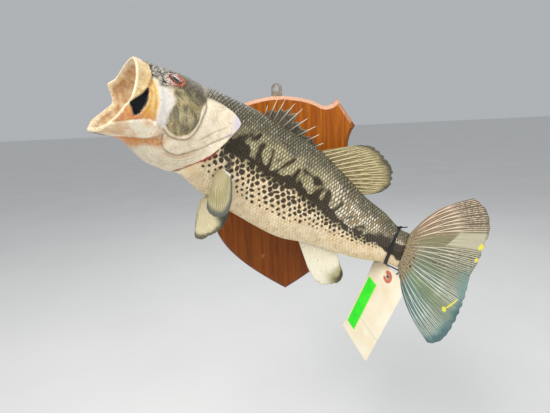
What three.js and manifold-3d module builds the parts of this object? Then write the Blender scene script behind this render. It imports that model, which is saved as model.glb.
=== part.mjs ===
// A largemouth bass skin mount on a shield plaque: millimetres, Z up, the wall behind it at Y = 0.
// The origin is the middle of the plaque's back. The fish's left side faces -Y, its head is at -X.
import * as THREE from 'three';
import { mergeVertices } from 'three/addons/utils/BufferGeometryUtils.js';
import Module from 'manifold-3d';

const wasm = await Module();
wasm.setup();

// ---------- driving dimensions ----------
const GAP = 0.35;                      // clearance kept between neighbouring pieces
const PLAQUE_THICK = 19;
const PLAQUE_CHAMFER = 5.5;
const FLANK_SEAT_Y = -PLAQUE_THICK - GAP; // the far flank is flattened where it bears on the plaque
const MOUTH_BACK = 84;                 // distance along the fish where the throat closes
const LIP_DEPTH = 13;                  // depth of the upper jaw's rim
const JAW_LENGTH = 46;                 // lower jaw, lip to joint
const GILL_PLATE = 2.6;                // thickness of a gill cover
const GILL_FLARE = 9;                  // how far its rear edge stands off the body
const GILL_REACH = 50;                 // length over which the flare builds up
const NECK_INSET = 4;                  // the neck lies this far under the gill covers
const TRUNK_START = 122;
const STALK_START = 400;
const BODY_END = 446;                  // root of the tail fin
const ROOF_EDGE = 50;                  // degrees from the crown to the cheek
const JAW_EDGE = 99;                   // degrees from the crown to the lower jaw's upper border
const COVER_EDGE = 104;                // degrees from the crown to the foot of the gill cover
const EYE_AT = 43.5;                   // distance along the head
const EYE_TURN = 34;                   // degrees from the crown
const EYE_RADIUS = 11;
const EYE_BULGE = 6.5;
const EYE_SINK = 2.6;
const FIN_EDGE = 1.6;                  // thickness of a fin at its tip
const TIE_AT = 429;                    // where the tie goes round the tail stalk
const CARD_WIDTH = 73;
const CARD_LENGTH = 146;
const CARD_THICK = 0.9;

// Stations along the fish, from in front of the lower lip to the root of the tail: distance at,
// the middle of the section (x, y, z), its reach up, down and to each side, the fullness of its
// upper half (2 is an ellipse), and the roll of the back towards the left side in degrees.
const STATIONS = [
  { at: -16, x: -192, y: -162.4, z: 170.9, up: 45, down: 56, side: 51, full: 1.6, roll: 8.7 },
  { at: 0, x: -181.2, y: -153.6, z: 162.9, up: 46.5, down: 53, side: 53, full: 1.6, roll: 8.7 },
  { at: 25, x: -164.4, y: -139.9, z: 150.5, up: 51, down: 49, side: 54, full: 1.7, roll: 8.7 },
  { at: 43, x: -152.3, y: -130, z: 141.6, up: 55, down: 56, side: 55, full: 1.8, roll: 8.7 },
  { at: 60, x: -140.8, y: -120.7, z: 133.1, up: 57.5, down: 62, side: 57, full: 1.9, roll: 8.7 },
  { at: 84, x: -124.7, y: -107.5, z: 121.2, up: 59.5, down: 62, side: 57, full: 1.9, roll: 8.4 },
  { at: 115, x: -102.5, y: -92, z: 106, up: 64, down: 60, side: 50, full: 2, roll: 7.5 },
  { at: 157, x: -71.7, y: -77, z: 81, up: 71.5, down: 68, side: 47, full: 2, roll: 5 },
  { at: 198, x: -39, y: -67.5, z: 58, up: 72, down: 72, side: 47, full: 2, roll: 2 },
  { at: 238, x: -6, y: -65, z: 35, up: 72.5, down: 72.5, side: 45.5, full: 2, roll: 0 },
  { at: 279, x: 28, y: -65, z: 13, up: 70, down: 71, side: 40.5, full: 2, roll: 0 },
  { at: 319, x: 62, y: -66.5, z: -8, up: 59, down: 60, side: 33, full: 2, roll: 0 },
  { at: 359, x: 94.5, y: -71.5, z: -31, up: 49.5, down: 48.5, side: 25, full: 2.1, roll: 0 },
  { at: 400, x: 130, y: -81.5, z: -49.5, up: 41, down: 38, side: 17, full: 2.3, roll: 0 },
  { at: 430, x: 156, y: -92.5, z: -61, up: 29.5, down: 27, side: 11.5, full: 2.4, roll: 0 },
  { at: 446, x: 170, y: -99, z: -65.5, up: 27.5, down: 27.5, side: 8.5, full: 2.4, roll: 0 },
];

// The open mouth: reach of the hollow up, down and to each side of the same middle line.
const MOUTH = [
  { at: -16, up: 41, down: 50, side: 45, full: 1.6 },
  { at: 0, up: 42, down: 48, side: 48, full: 1.6 },
  { at: 25, up: 31, down: 42, side: 44, full: 1.8 },
  { at: 43, up: 21, down: 40, side: 36, full: 2 },
  { at: 60, up: 12, down: 34, side: 27, full: 2 },
  { at: 84, up: 4, down: 20, side: 14, full: 2 },
];

// Rear edge of the gill cover and its membrane: degrees from the crown, distance along the fish.
const GILL_EDGE = [
  { at: 36, reach: 96 }, { at: 38, reach: 101 }, { at: 40, reach: 112 }, { at: 42.5, reach: 124 },
  { at: 46, reach: 133 }, { at: 50, reach: 139 }, { at: 55, reach: 139.5 }, { at: 61, reach: 138 },
  { at: 70, reach: 135.5 }, { at: 84, reach: 132 }, { at: 98, reach: 127 }, { at: 110, reach: 122.5 },
  { at: 118, reach: 118 }, { at: 128, reach: 108 }, { at: 138, reach: 98 }, { at: 150, reach: 92 },
  { at: 164, reach: 90 }, { at: 180, reach: 89 },
];

// ---------- measuring along the fish ----------
// Smooth value of one column of a table at a distance: cubic between rows, no overshoot at the ends.
function smooth(table, key, at) {
  const last = table.length - 1;
  let i = 0;
  while (i < last - 1 && at > table[i + 1].at) i += 1;
  const slope = (k) => {
    const a = table[Math.max(0, k - 1)];
    const b = table[Math.min(last, k + 1)];
    return (b[key] - a[key]) / (b.at - a.at);
  };
  const a = table[i];
  const b = table[i + 1];
  const span = b.at - a.at;
  const t = (at - a.at) / span;
  const rise = 3 * t * t - 2 * t * t * t;
  const lead = (t * t * t - 2 * t * t + t) * span * slope(i);
  const trail = (t * t * t - t * t) * span * slope(i + 1);
  return a[key] + (b[key] - a[key]) * rise + lead + trail;
}

function middle(at) {
  return new THREE.Vector3(...['x', 'y', 'z'].map((key) => smooth(STATIONS, key, at)));
}

// Middle point and the three directions of the section at a distance: along to the tail, out to
// the fish's left, and up its back.
function frameAt(at) {
  const along = middle(at + 1).sub(middle(at - 1)).normalize();
  const level = new THREE.Vector3(0, 0, 1).addScaledVector(along, -along.z).normalize();
  const side = new THREE.Vector3().crossVectors(along, level);
  const roll = THREE.MathUtils.degToRad(smooth(STATIONS, 'roll', at));
  const up = level.clone().multiplyScalar(Math.cos(roll)).addScaledVector(side, Math.sin(roll));
  const left = side.multiplyScalar(Math.cos(roll)).addScaledVector(level, -Math.sin(roll));
  return { origin: middle(at), along, left, up };
}

// Radius of a section in the direction turned so many degrees from the crown to the left.
function reach(table, at, turn) {
  const angle = THREE.MathUtils.degToRad(turn);
  const upper = Math.cos(angle) > 0;
  const tall = smooth(table, upper ? 'up' : 'down', at);
  const wide = smooth(table, 'side', at);
  const power = upper ? smooth(table, 'full', at) : 2;
  const u = Math.abs(Math.cos(angle)) / tall;
  const s = Math.abs(Math.sin(angle)) / wide;
  return (u ** power + s ** power) ** (-1 / power);
}

function placeAt(at, turn, radius) {
  const angle = THREE.MathUtils.degToRad(turn);
  const { origin, left, up } = frameAt(at);
  const point = origin.addScaledVector(left, radius * Math.sin(angle));
  return point.addScaledVector(up, radius * Math.cos(angle));
}

function bodyPoint(at, turn, grow = 0) {
  const point = placeAt(at, turn, reach(STATIONS, at, turn) + grow);
  point.y = Math.min(point.y, FLANK_SEAT_Y + grow);
  return point;
}

function mouthPoint(at, turn) {
  return placeAt(at, turn, reach(MOUTH, at, turn));
}

function ramp(from, to, count) {
  return Array.from({ length: count + 1 }, (_, i) => from + ((to - from) * i) / count);
}

// ---------- making solids ----------
function geometryOf(points, faces) {
  const geometry = new THREE.BufferGeometry();
  const numbers = points.flatMap((p) => [p.x, p.y, p.z]);
  geometry.setAttribute('position', new THREE.Float32BufferAttribute(numbers, 3));
  geometry.setIndex(faces.flat());
  return faceOut(geometry);
}

// A closed geometry turned inside out has a negative volume, and is flipped.
function faceOut(geometry) {
  const p = geometry.attributes.position;
  const index = geometry.index.array;
  const corner = [new THREE.Vector3(), new THREE.Vector3(), new THREE.Vector3()];
  let volume = 0;
  for (let i = 0; i < index.length; i += 3) {
    corner.forEach((c, k) => c.fromBufferAttribute(p, index[i + k]));
    volume += corner[0].dot(corner[1].clone().cross(corner[2]));
  }
  if (volume < 0) {
    for (let i = 0; i < index.length; i += 3) [index[i + 1], index[i + 2]] = [index[i + 2], index[i + 1]];
  }
  return geometry;
}

// A round body through closed rings of equal count, with a fan at each end.
function lofted(rings) {
  const count = rings[0].length;
  const points = rings.flat();
  const faces = [];
  for (let i = 0; i < rings.length - 1; i += 1) {
    for (let j = 0; j < count; j += 1) {
      const a = i * count + j;
      const b = i * count + ((j + 1) % count);
      faces.push([a, b, b + count], [a, b + count, a + count]);
    }
  }
  [0, rings.length - 1].forEach((end, k) => {
    const centre = rings[end].reduce((sum, p) => sum.add(p), new THREE.Vector3()).divideScalar(count);
    points.push(centre);
    const hub = points.length - 1;
    for (let j = 0; j < count; j += 1) {
      const a = end * count + j;
      const b = end * count + ((j + 1) % count);
      faces.push(k === 0 ? [hub, b, a] : [hub, a, b]);
    }
  });
  return geometryOf(points, faces);
}

// A thick sheet between two grids of points of the same size, closed round its four edges.
function sheet(front, back) {
  const rows = front.length;
  const columns = front[0].length;
  const points = [...front.flat(), ...back.flat()];
  const under = rows * columns;
  const faces = [];
  for (let i = 0; i < rows - 1; i += 1) {
    for (let j = 0; j < columns - 1; j += 1) {
      const a = i * columns + j;
      faces.push([a, a + 1, a + columns + 1], [a, a + columns + 1, a + columns]);
      const b = a + under;
      faces.push([b, b + columns + 1, b + 1], [b, b + columns, b + columns + 1]);
    }
  }
  // Walls split along the same diagonal on opposite edges, so that neighbouring sheets lie flush.
  const wall = (a, b) => faces.push([a, a + under, b + under], [a, b + under, b]);
  const farWall = (a, b) => faces.push([b, a, a + under], [b, a + under, b + under]);
  for (let j = 0; j < columns - 1; j += 1) {
    wall(j, j + 1);
    farWall((rows - 1) * columns + j + 1, (rows - 1) * columns + j);
  }
  for (let i = 0; i < rows - 1; i += 1) {
    farWall((i + 1) * columns, i * columns);
    wall(i * columns + columns - 1, (i + 1) * columns + columns - 1);
  }
  return geometryOf(points, faces);
}

function solidOf(geometry) {
  const bare = geometry.index ? geometry.clone() : geometry;
  bare.deleteAttribute('normal');
  bare.deleteAttribute('uv');
  const merged = mergeVertices(bare, 1e-4);
  return new wasm.Manifold(new wasm.Mesh({
    numProp: 3,
    vertProperties: Float32Array.from(merged.attributes.position.array),
    triVerts: Uint32Array.from(merged.index.array),
  }));
}

function geometryFrom(solid) {
  const mesh = solid.getMesh();
  const geometry = new THREE.BufferGeometry();
  geometry.setAttribute('position', new THREE.BufferAttribute(mesh.vertProperties, 3));
  geometry.setIndex(new THREE.BufferAttribute(mesh.triVerts, 1));
  return geometry;
}

function cutBy(geometry, ...tools) {
  return geometryFrom(tools.reduce((solid, tool) => solid.subtract(solidOf(tool)), solidOf(geometry)));
}

function joined(...pieces) {
  const [first, ...others] = pieces.map(solidOf);
  return geometryFrom(others.reduce((solid, piece) => solid.add(piece), first));
}

// ---------- finishes ----------
function finish(color, roughness, metalness = 0) {
  return new THREE.MeshStandardMaterial({ color, roughness, metalness });
}

const FINISH = {
  wood: finish(0x7a3f16, 0.35),
  metal: finish(0xa79f8c, 0.4, 0.9),
  back: finish(0x5e5a38, 0.45),
  flank: finish(0x9b9065, 0.4),
  cheek: finish(0x8f8250, 0.35),
  lip: finish(0xd8b98a, 0.45),
  throat: finish(0xdcc6a0, 0.5),
  gill: finish(0x9c1f2a, 0.4),
  eye: finish(0x17120d, 0.08),
  fin: finish(0xa39a6c, 0.4),
  tailFin: finish(0x8c8a66, 0.4),
  tie: finish(0x0d0d0f, 0.5),
  card: finish(0xe9dcbc, 0.8),
  ring: finish(0xc8694a, 0.8),
  sticker: finish(0x27e01a, 0.6),
};

const bass = new THREE.Group();
function add(name, geometry, material) {
  const mesh = new THREE.Mesh(geometry, material);
  mesh.name = name;
  bass.add(mesh);
  return mesh;
}

// ---------- plaque ----------
// Right half of the shield, from the top of its crown round to its point.
function shieldShape() {
  const half = new THREE.Path();
  half.moveTo(0, 155);
  half.quadraticCurveTo(44, 152, 64, 139.5);
  half.bezierCurveTo(73, 134, 82, 136.5, 90.5, 146.5);
  half.lineTo(116.5, 105.5);
  half.quadraticCurveTo(104, 90, 105.5, 68);
  half.bezierCurveTo(100, 25, 119, -2, 111, -36);
  half.bezierCurveTo(106, -70, 84, -104, 0, -155);
  const right = half.getPoints(7);
  const left = right.slice(1, -1).reverse().map((p) => new THREE.Vector2(-p.x, p.y));
  return [...right, ...left];
}

function insetBy(outline, distance) {
  const count = outline.length;
  return outline.map((point, i) => {
    const before = outline[(i + count - 1) % count];
    const after = outline[(i + 1) % count];
    const one = point.clone().sub(before).normalize();
    const two = after.clone().sub(point).normalize();
    const inward = new THREE.Vector2(one.y + two.y, -one.x - two.x).normalize();
    const spread = Math.max(0.5, inward.dot(new THREE.Vector2(one.y, -one.x)));
    return point.clone().addScaledVector(inward, distance / spread);
  });
}

// Triangles that fill an outline, turning the same way round as the outline does.
function capOf(outline) {
  const turning = (points) => Math.sign(THREE.ShapeUtils.area(points));
  const whole = turning(outline);
  return THREE.ShapeUtils.triangulateShape([...outline], []).map(([a, b, c]) => {
    const same = turning([outline[a], outline[b], outline[c]]) === whole;
    return same ? [a, b, c] : [a, c, b];
  });
}

function plaqueGeometry() {
  const outer = shieldShape();
  const face = insetBy(outer, PLAQUE_CHAMFER);
  const levels = [[outer, 0], [outer, PLAQUE_CHAMFER - PLAQUE_THICK], [face, -PLAQUE_THICK]];
  const points = levels.flatMap(([outline, y]) => outline.map((p) => new THREE.Vector3(p.x, y, p.y)));
  const count = outer.length;
  const faces = [];
  for (let k = 0; k < 2; k += 1) {
    for (let i = 0; i < count; i += 1) {
      const a = k * count + i;
      const b = k * count + ((i + 1) % count);
      faces.push([a, b, b + count], [a, b + count, a + count]);
    }
  }
  capOf(outer).forEach(([a, b, c]) => faces.push([a, c, b]));
  const top = 2 * count;
  capOf(levels[2][0]).forEach(([a, b, c]) => faces.push([a + top, b + top, c + top]));
  return geometryOf(points, faces);
}

// The keyhole hanger: a flat plate let into the plaque's back, its eye standing over the crown.
const HANGER = { z: 165.5, outer: 8.2, hole: 3.9, slot: 1.5, foot: 138, thick: 1.5, y: -0.3 };

function hangerOutline(grow, foot) {
  const shape = new THREE.Shape();
  shape.moveTo(-HANGER.outer - grow, foot);
  shape.lineTo(HANGER.outer + grow, foot);
  shape.lineTo(HANGER.outer + grow, HANGER.z);
  shape.absarc(0, HANGER.z, HANGER.outer + grow, 0, Math.PI, false);
  return shape;
}

// Extrudes an outline drawn in x and z towards -Y from y.
function plateFrom(shape, depth, y, segments = 7) {
  const how = { depth, bevelEnabled: false, curveSegments: segments };
  const geometry = new THREE.ExtrudeGeometry(shape, how);
  geometry.rotateX(Math.PI / 2);
  geometry.translate(0, y, 0);
  return geometry;
}

function hangerGeometry() {
  const shape = hangerOutline(0, HANGER.foot);
  const eye = new THREE.Path();
  const start = Math.asin(HANGER.slot / HANGER.hole);
  eye.absarc(0, HANGER.z, HANGER.hole, Math.PI / 2 + start, Math.PI * 2.5 - start, false);
  eye.absarc(0, HANGER.z + HANGER.hole + 1.2, HANGER.slot, 0, Math.PI, false);
  shape.holes.push(eye);
  return plateFrom(shape, HANGER.thick, HANGER.y);
}

const recess = plateFrom(hangerOutline(GAP, HANGER.foot - GAP), HANGER.thick + GAP + 1, 1 - GAP);
const plaque = cutBy(plaqueGeometry(), recess);
add('plaque', plaque, FINISH.wood);
add('hanger_plate', hangerGeometry(), FINISH.metal);

// ---------- the body ----------
const RING = ramp(0, 360, 24).slice(0, -1);

function bodyLength(from, to, steps, grow = 0) {
  return lofted(ramp(from, to, steps).map((at) => RING.map((turn) => bodyPoint(at, turn, grow))));
}

add('trunk', bodyLength(TRUNK_START + GAP, STALK_START - GAP / 2, 12), FINISH.flank);
add('tail_stalk', bodyLength(STALK_START + GAP / 2, BODY_END, 4), FINISH.flank);
add('neck', bodyLength(MOUTH_BACK + GAP, TRUNK_START, 3, -NECK_INSET), FINISH.flank);

// A part of the head's wall: from the outside of the head to the hollow of the mouth.
function headWall(fromTurn, toTurn, fromAt, toAt, turns, steps) {
  const outer = [];
  const inner = [];
  ramp(fromTurn, toTurn, turns).forEach((turn) => {
    const start = typeof fromAt === 'function' ? fromAt(turn) : fromAt;
    const line = ramp(start, toAt, steps);
    outer.push(line.map((at) => bodyPoint(at, turn)));
    inner.push(line.map((at) => mouthPoint(at, turn)));
  });
  return sheet(outer, inner);
}

// The far jaw plate's tip stands forward, and the lower lip dips back below it.
const farTip = (turn) => 5.5 * Math.exp(-(((turn + 84) / 9) ** 2));
const farDip = (turn) => 7 * Math.exp(-(((turn - 244) / 13) ** 2));
const upperLip = (turn) => -4 * Math.cos(THREE.MathUtils.degToRad(turn)) ** 2 - farTip(turn);
const lowerLip = (turn) => farDip(turn) - 2 - 13 * (1 - Math.abs(turn - 180) / 81) ** 1.4;
const CUT = 0.45;                      // degrees left open between two walls of the head

function eyeGeometry(turn, grow = 0) {
  const ball = new THREE.SphereGeometry(1, 14, 8);
  const centre = placeAt(EYE_AT, turn, reach(STATIONS, EYE_AT, turn) - EYE_SINK);
  const out = placeAt(EYE_AT, turn, 1).sub(middle(EYE_AT)).normalize();
  ball.scale(EYE_RADIUS + grow, EYE_RADIUS + grow, EYE_BULGE + grow);
  ball.applyQuaternion(new THREE.Quaternion().setFromUnitVectors(new THREE.Vector3(0, 0, 1), out));
  ball.translate(...centre.toArray());
  return ball;
}

add('eye_left', eyeGeometry(EYE_TURN), FINISH.eye);
add('eye_right', eyeGeometry(-EYE_TURN), FINISH.eye);

const skullWall = headWall(-ROOF_EDGE, ROOF_EDGE, LIP_DEPTH + GAP, MOUTH_BACK, 10, 6);
const skull = cutBy(skullWall, eyeGeometry(EYE_TURN, GAP), eyeGeometry(-EYE_TURN, GAP));
add('head', skull, FINISH.back);
const upperJaw = headWall(-JAW_EDGE + CUT, JAW_EDGE - CUT, upperLip, LIP_DEPTH, 20, 2);
add('upper_jaw', upperJaw, FINISH.lip);
add('lower_jaw', headWall(JAW_EDGE, 360 - JAW_EDGE, lowerLip, JAW_LENGTH, 16, 4), FINISH.lip);
const throat = headWall(JAW_EDGE, 360 - JAW_EDGE, JAW_LENGTH + GAP, MOUTH_BACK, 14, 3);
add('throat', throat, FINISH.throat);
[['left', 1], ['right', -1]].forEach(([name, hand]) => {
  const upper = hand * (ROOF_EDGE + CUT);
  const lower = hand * (JAW_EDGE - CUT);
  const cheek = headWall(upper, lower, LIP_DEPTH + GAP, MOUTH_BACK, 5, 6);
  add(`cheek_${name}`, cheek, FINISH.cheek);
});

// ---------- gill covers, their membranes and the gills ----------
const flare = (at) => Math.max(0, (at - MOUTH_BACK) / GILL_REACH) * GILL_FLARE;
const gillEdge = (turn) => smooth(GILL_EDGE, 'reach', Math.abs(turn));

function coverSheet(fromTurn, toTurn, hand, turns, steps, rear, outerLift, innerLift) {
  const outer = [];
  const inner = [];
  ramp(fromTurn, toTurn, turns).forEach((turn) => {
    const line = ramp(...rear(turn), steps);
    outer.push(line.map((at) => bodyPoint(at, hand * turn, outerLift(at, turn))));
    inner.push(line.map((at) => bodyPoint(at, hand * turn, innerLift(at, turn))));
  });
  return sheet(outer, inner);
}

// The flare fades towards the underside, where the membrane joins the throat.
const lift = (at, turn) => flare(at) * THREE.MathUtils.clamp((186 - turn) / 50, 0.15, 1);
const coverRun = (turn) => [MOUTH_BACK + GAP, gillEdge(turn)];
const gillRun = (turn) => [MOUTH_BACK + 10, Math.max(gillEdge(turn) - 3, MOUTH_BACK + 12)];
const underCover = (at, turn) => lift(at, turn) - GILL_PLATE;
const neckTop = () => 1.1 - NECK_INSET;

[['left', 1], ['right', -1]].forEach(([name, hand]) => {
  const cover = coverSheet(36, COVER_EDGE, hand, 10, 4, coverRun, lift, underCover);
  add(`gill_cover_${name}`, cover, FINISH.cheek);
  const membrane = coverSheet(COVER_EDGE + CUT, 179.6, hand, 9, 4, coverRun, lift, underCover);
  add(`gill_membrane_${name}`, membrane, FINISH.throat);
  const roof = (at, turn) => underCover(at, turn) - 2 * GAP;
  const run = (turn) => gillRun(turn).map((at) => Math.min(at, TRUNK_START - GAP));
  const gills = coverSheet(62, 128, hand, 8, 2, run, roof, neckTop);
  add(`gills_${name}`, gills, FINISH.gill);
});

// ---------- fins ----------
const bodyCore = bodyLength(MOUTH_BACK, BODY_END, 22, GAP + 0.25);

// A fin from the two ends of its root to a curve of ray tips. Each ray runs from root to tip, and
// rays away from the middle bow outwards. half() is half the fin's thickness along a ray.
function finGeometry({ place, root, tips, rays, steps, bow = 0, half }) {
  const edge = new THREE.SplineCurve(tips.map(([a, b]) => new THREE.Vector2(a, b)));
  const from = new THREE.Vector2(...root[0]);
  const to = new THREE.Vector2(...root[1]);
  const front = [];
  const back = [];
  ramp(0, 1, rays).forEach((across) => {
    const start = from.clone().lerp(to, across);
    const tip = edge.getPointAt(across);
    const ray = tip.clone().sub(start);
    const out = new THREE.Vector2(-ray.y, ray.x).normalize().multiplyScalar(bow * (1 - 2 * across));
    const line = ramp(0, 1, steps).map((t) => {
      const flat = start.clone().addScaledVector(ray, t).addScaledVector(out, Math.sin(Math.PI * t));
      return { flat, t };
    });
    front.push(line.map(({ flat, t }) => place(flat.x, flat.y, half(t))));
    back.push(line.map(({ flat, t }) => place(flat.x, flat.y, -half(t))));
  });
  return sheet(front, back);
}

const taper = (rootHalf) => (t) => FIN_EDGE / 2 + (rootHalf - FIN_EDGE / 2) * (1 - t) ** 2;

// Fins of the middle line stand in the fish's own curved middle surface: x and z are as on the
// plaque, and the depth is that of the middle line.
const DEPTHS = STATIONS.slice(6).map(({ x, y }) => ({ at: x, y }));
const inMiddle = (x, z, offset) => new THREE.Vector3(x, smooth(DEPTHS, 'y', x) + offset, z);

const dorsalSoft = finGeometry({
  place: inMiddle,
  root: [[61, 76], [107, 12]],
  tips: [
    [112, 82.5], [127, 81], [140, 72.5], [151, 56.5], [155.5, 38.5], [151, 26], [141, 17.5], [129, 13.5],
  ],
  rays: 12,
  steps: 4,
  half: taper(2.4),
});
add('dorsal_fin_soft', cutBy(dorsalSoft, bodyCore), FINISH.fin);

const anal = finGeometry({
  place: inMiddle,
  root: [[79, -68], [22, -50]],
  tips: [
    [84, -92], [88.5, -107], [86.5, -117], [80, -124], [71, -127], [60, -127], [50, -122], [42, -111],
    [36, -97],
  ],
  rays: 11,
  steps: 4,
  half: taper(2.6),
});
add('anal_fin', cutBy(anal, bodyCore), FINISH.fin);

// Spines of the front dorsal fin: foot and tip of each in x and z, the torn web sagging between.
const SPINES = [
  [-15, 130, -11.6, 141.5], [-9.5, 126, 3.1, 150.2], [-3, 122, 13.9, 149.1], [2.8, 117, 26.8, 142.7],
  [9.5, 112, 36.9, 134.7], [18.3, 106, 43.6, 121.6], [29.7, 99, 54.2, 109.8], [42.3, 91, 58.9, 98.6],
  [53, 82, 64.5, 86.5],
];
const WEB_HEIGHT = 0.42;

function spinyFin() {
  const lower = [];
  const upper = [];
  SPINES.forEach(([fx, fz, tx, tz], i) => {
    const ray = new THREE.Vector2(tx - fx, tz - fz);
    const width = new THREE.Vector2(-ray.y, ray.x).normalize().multiplyScalar(0.9);
    const foot = new THREE.Vector2(fx, fz).addScaledVector(ray, -0.25);
    [1, -1].forEach((handed) => {
      lower.push(foot.clone().addScaledVector(width, handed));
      upper.push(new THREE.Vector2(tx, tz).addScaledVector(width, handed * 0.6));
    });
    const next = SPINES[i + 1];
    if (!next) return;
    const web = new THREE.Vector2((fx + next[0]) / 2, (fz + next[1]) / 2);
    lower.push(web.clone().addScaledVector(ray, -0.25));
    upper.push(web.clone().addScaledVector(ray, WEB_HEIGHT));
  });
  const side = (offset) => lower.map((low, i) => [0, 0.5, 1].map((t) => {
    const at = low.clone().lerp(upper[i], t);
    return inMiddle(at.x, at.y, offset);
  }));
  return sheet(side(1), side(-1));
}
add('dorsal_fin_spiny', cutBy(spinyFin(), bodyCore), FINISH.fin);

// Tail fin: in the plane of the last section, x along it and y up it from its middle.
const tailFrame = frameAt(BODY_END - 1);
tailFrame.origin = middle(BODY_END);
const inTail = (along, up, offset) => tailFrame.origin.clone()
  .addScaledVector(tailFrame.along, along).addScaledVector(tailFrame.up, up).addScaledVector(tailFrame.left, offset);
const tailFin = finGeometry({
  place: inTail,
  root: [[GAP, 28], [GAP, -28]],
  tips: [
    [60, 101], [76, 92], [88, 73], [92, 45], [91, 18], [89, 0], [92, -22], [95, -48], [93, -80],
    [86, -108], [73, -121],
  ],
  rays: 19,
  steps: 6,
  bow: 9,
  half: (t) => FIN_EDGE / 2 + 5.2 * (1 - t) ** 5 + 1.1 * (1 - t),
});
add('tail_fin', tailFin, FINISH.tailFin);

// Paired fins: a flat blade at a root point, with its width and hang directions.
function bladeIn(origin, across, down) {
  const flat = new THREE.Vector3().crossVectors(across, down).normalize();
  return (a, b, offset) => {
    const onPlane = origin.clone().addScaledVector(across, a).addScaledVector(down, b);
    return onPlane.addScaledVector(flat, offset);
  };
}

const pectoralBlade = bladeIn(
  new THREE.Vector3(-76, -123, 62),
  new THREE.Vector3(0.95, -0.31, 0).normalize(),
  new THREE.Vector3(-0.04, -0.2, -0.98).normalize(),
);
const PECTORAL = {
  root: [[6, -3], [-5, 2]],
  tips: [[17, 5], [19, 20], [18.5, 36], [14, 52], [5, 60.5], [-5, 61], [-13.5, 57], [-18, 48], [-17, 38]],
  rays: 10,
  steps: 4,
  half: taper(2.8),
};
add('pectoral_fin_left', cutBy(finGeometry({ ...PECTORAL, place: pectoralBlade }), bodyCore), FINISH.fin);

// The far pectoral fin lies back along the flank.
const farFrame = frameAt(150);
const farRoot = bodyPoint(150, -122, 1.5);
const farSlant = farFrame.along.clone().addScaledVector(farFrame.up, -0.9);
const farBack = farSlant.addScaledVector(farFrame.left, 0.25).normalize();
const farAcross = farFrame.up.clone().addScaledVector(farBack, -farFrame.up.dot(farBack)).normalize();
const farPectoral = finGeometry({ ...PECTORAL, place: bladeIn(farRoot, farAcross, farBack) });
add('pectoral_fin_right', cutBy(farPectoral, bodyCore), FINISH.fin);

const PELVIC = {
  root: [[-5, 0], [7, -1]],
  tips: [
    [30, 20], [30, 28], [25, 39], [15, 47], [5, 52], [-5, 57], [-16, 54], [-15, 40], [-12, 22],
  ],
  rays: 10,
  steps: 4,
  half: taper(2.8),
};
PELVIC.root.reverse();
const pelvicRoot = new THREE.Vector3(-104, -101, 21);
const pelvicAcross = new THREE.Vector3(1, -0.12, 0).normalize();
const pelvicDown = new THREE.Vector3(0, -0.1, -1).normalize();
const pelvicLeft = finGeometry({ ...PELVIC, place: bladeIn(pelvicRoot, pelvicAcross, pelvicDown) });
add('pelvic_fin_left', cutBy(pelvicLeft, bodyCore), FINISH.fin);
const pelvicFar = bladeIn(
  new THREE.Vector3(-103, -84, 19),
  new THREE.Vector3(1, 0.1, 0).normalize(),
  new THREE.Vector3(-0.05, 0.12, -1).normalize(),
);
add('pelvic_fin_right', cutBy(finGeometry({ ...PELVIC, place: pelvicFar }), bodyCore), FINISH.fin);

// ---------- the tie round the tail stalk and its tag ----------
const TIE_WIDTH = 4.2;
const TIE_THICK = 1.3;
const TIE_REST = 0.6;                  // its inside stands this far off the flat facets of the stalk
const TIE_LEAN = -1;                   // how much nearer the head its foot sits than its top

function tieBand() {
  const loop = RING;
  const corner = (turn, edge, grow) => {
    const at = TIE_AT + edge - TIE_LEAN * (1 - Math.cos(THREE.MathUtils.degToRad(turn))) / 2;
    return bodyPoint(at, turn, grow);
  };
  const rings = loop.map((turn) => [
    corner(turn, -TIE_WIDTH / 2, TIE_REST), corner(turn, TIE_WIDTH / 2, TIE_REST),
    corner(turn, TIE_WIDTH / 2, TIE_REST + TIE_THICK), corner(turn, -TIE_WIDTH / 2, TIE_REST + TIE_THICK),
  ]);
  const faces = [];
  rings.forEach((_, i) => {
    const next = ((i + 1) % rings.length) * 4;
    for (let k = 0; k < 4; k += 1) {
      const m = (k + 1) % 4;
      faces.push([i * 4 + k, next + k, next + m], [i * 4 + k, next + m, i * 4 + m]);
    }
  });
  return geometryOf(rings.flat(), faces);
}

function strand(points, radius, steps) {
  const round = new THREE.Shape();
  round.absarc(0, 0, radius, 0, Math.PI * 2, false);
  const path = new THREE.CatmullRomCurve3(points.map((p) => new THREE.Vector3(...p)));
  const how = { steps, curveSegments: 4, extrudePath: path, bevelEnabled: false };
  return new THREE.ExtrudeGeometry(round, how);
}

// The card hangs from its eyelet: its eyelet point, and its directions across and down.
const EYELET = new THREE.Vector3(151, -90, -107.6);
const cardDown = new THREE.Vector3(-44.8, 28, -121.3).normalize();
const cardAcross = new THREE.Vector3(26.4, -64, -21.7).normalize();
cardAcross.addScaledVector(cardDown, -cardAcross.dot(cardDown)).normalize();
const cardFace = new THREE.Vector3().crossVectors(cardDown, cardAcross).normalize();
if (cardFace.y > 0) cardFace.negate();
const EYELET_HOLE = 3.4;
const EYELET_INSET = 13;
const REAR_INSET = 7.5;
const REAR_EDGES = [-42, 20];          // its left and right edges, from its eyelet
const REAR_LENGTH = 100;
const CORNER_CUT = 17;

function cardShape(left, right, length, top, leftCorner) {
  const shape = new THREE.Shape();
  shape.moveTo(left, top - length);
  shape.lineTo(right, top - length);
  shape.lineTo(right, top - CORNER_CUT);
  shape.lineTo(right - CORNER_CUT, top);
  shape.lineTo(left + leftCorner, top);
  shape.lineTo(left, top - leftCorner);
  const hole = new THREE.Path();
  hole.absarc(0, 0, EYELET_HOLE, 0, Math.PI * 2, true);
  shape.holes.push(hole);
  return shape;
}

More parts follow.
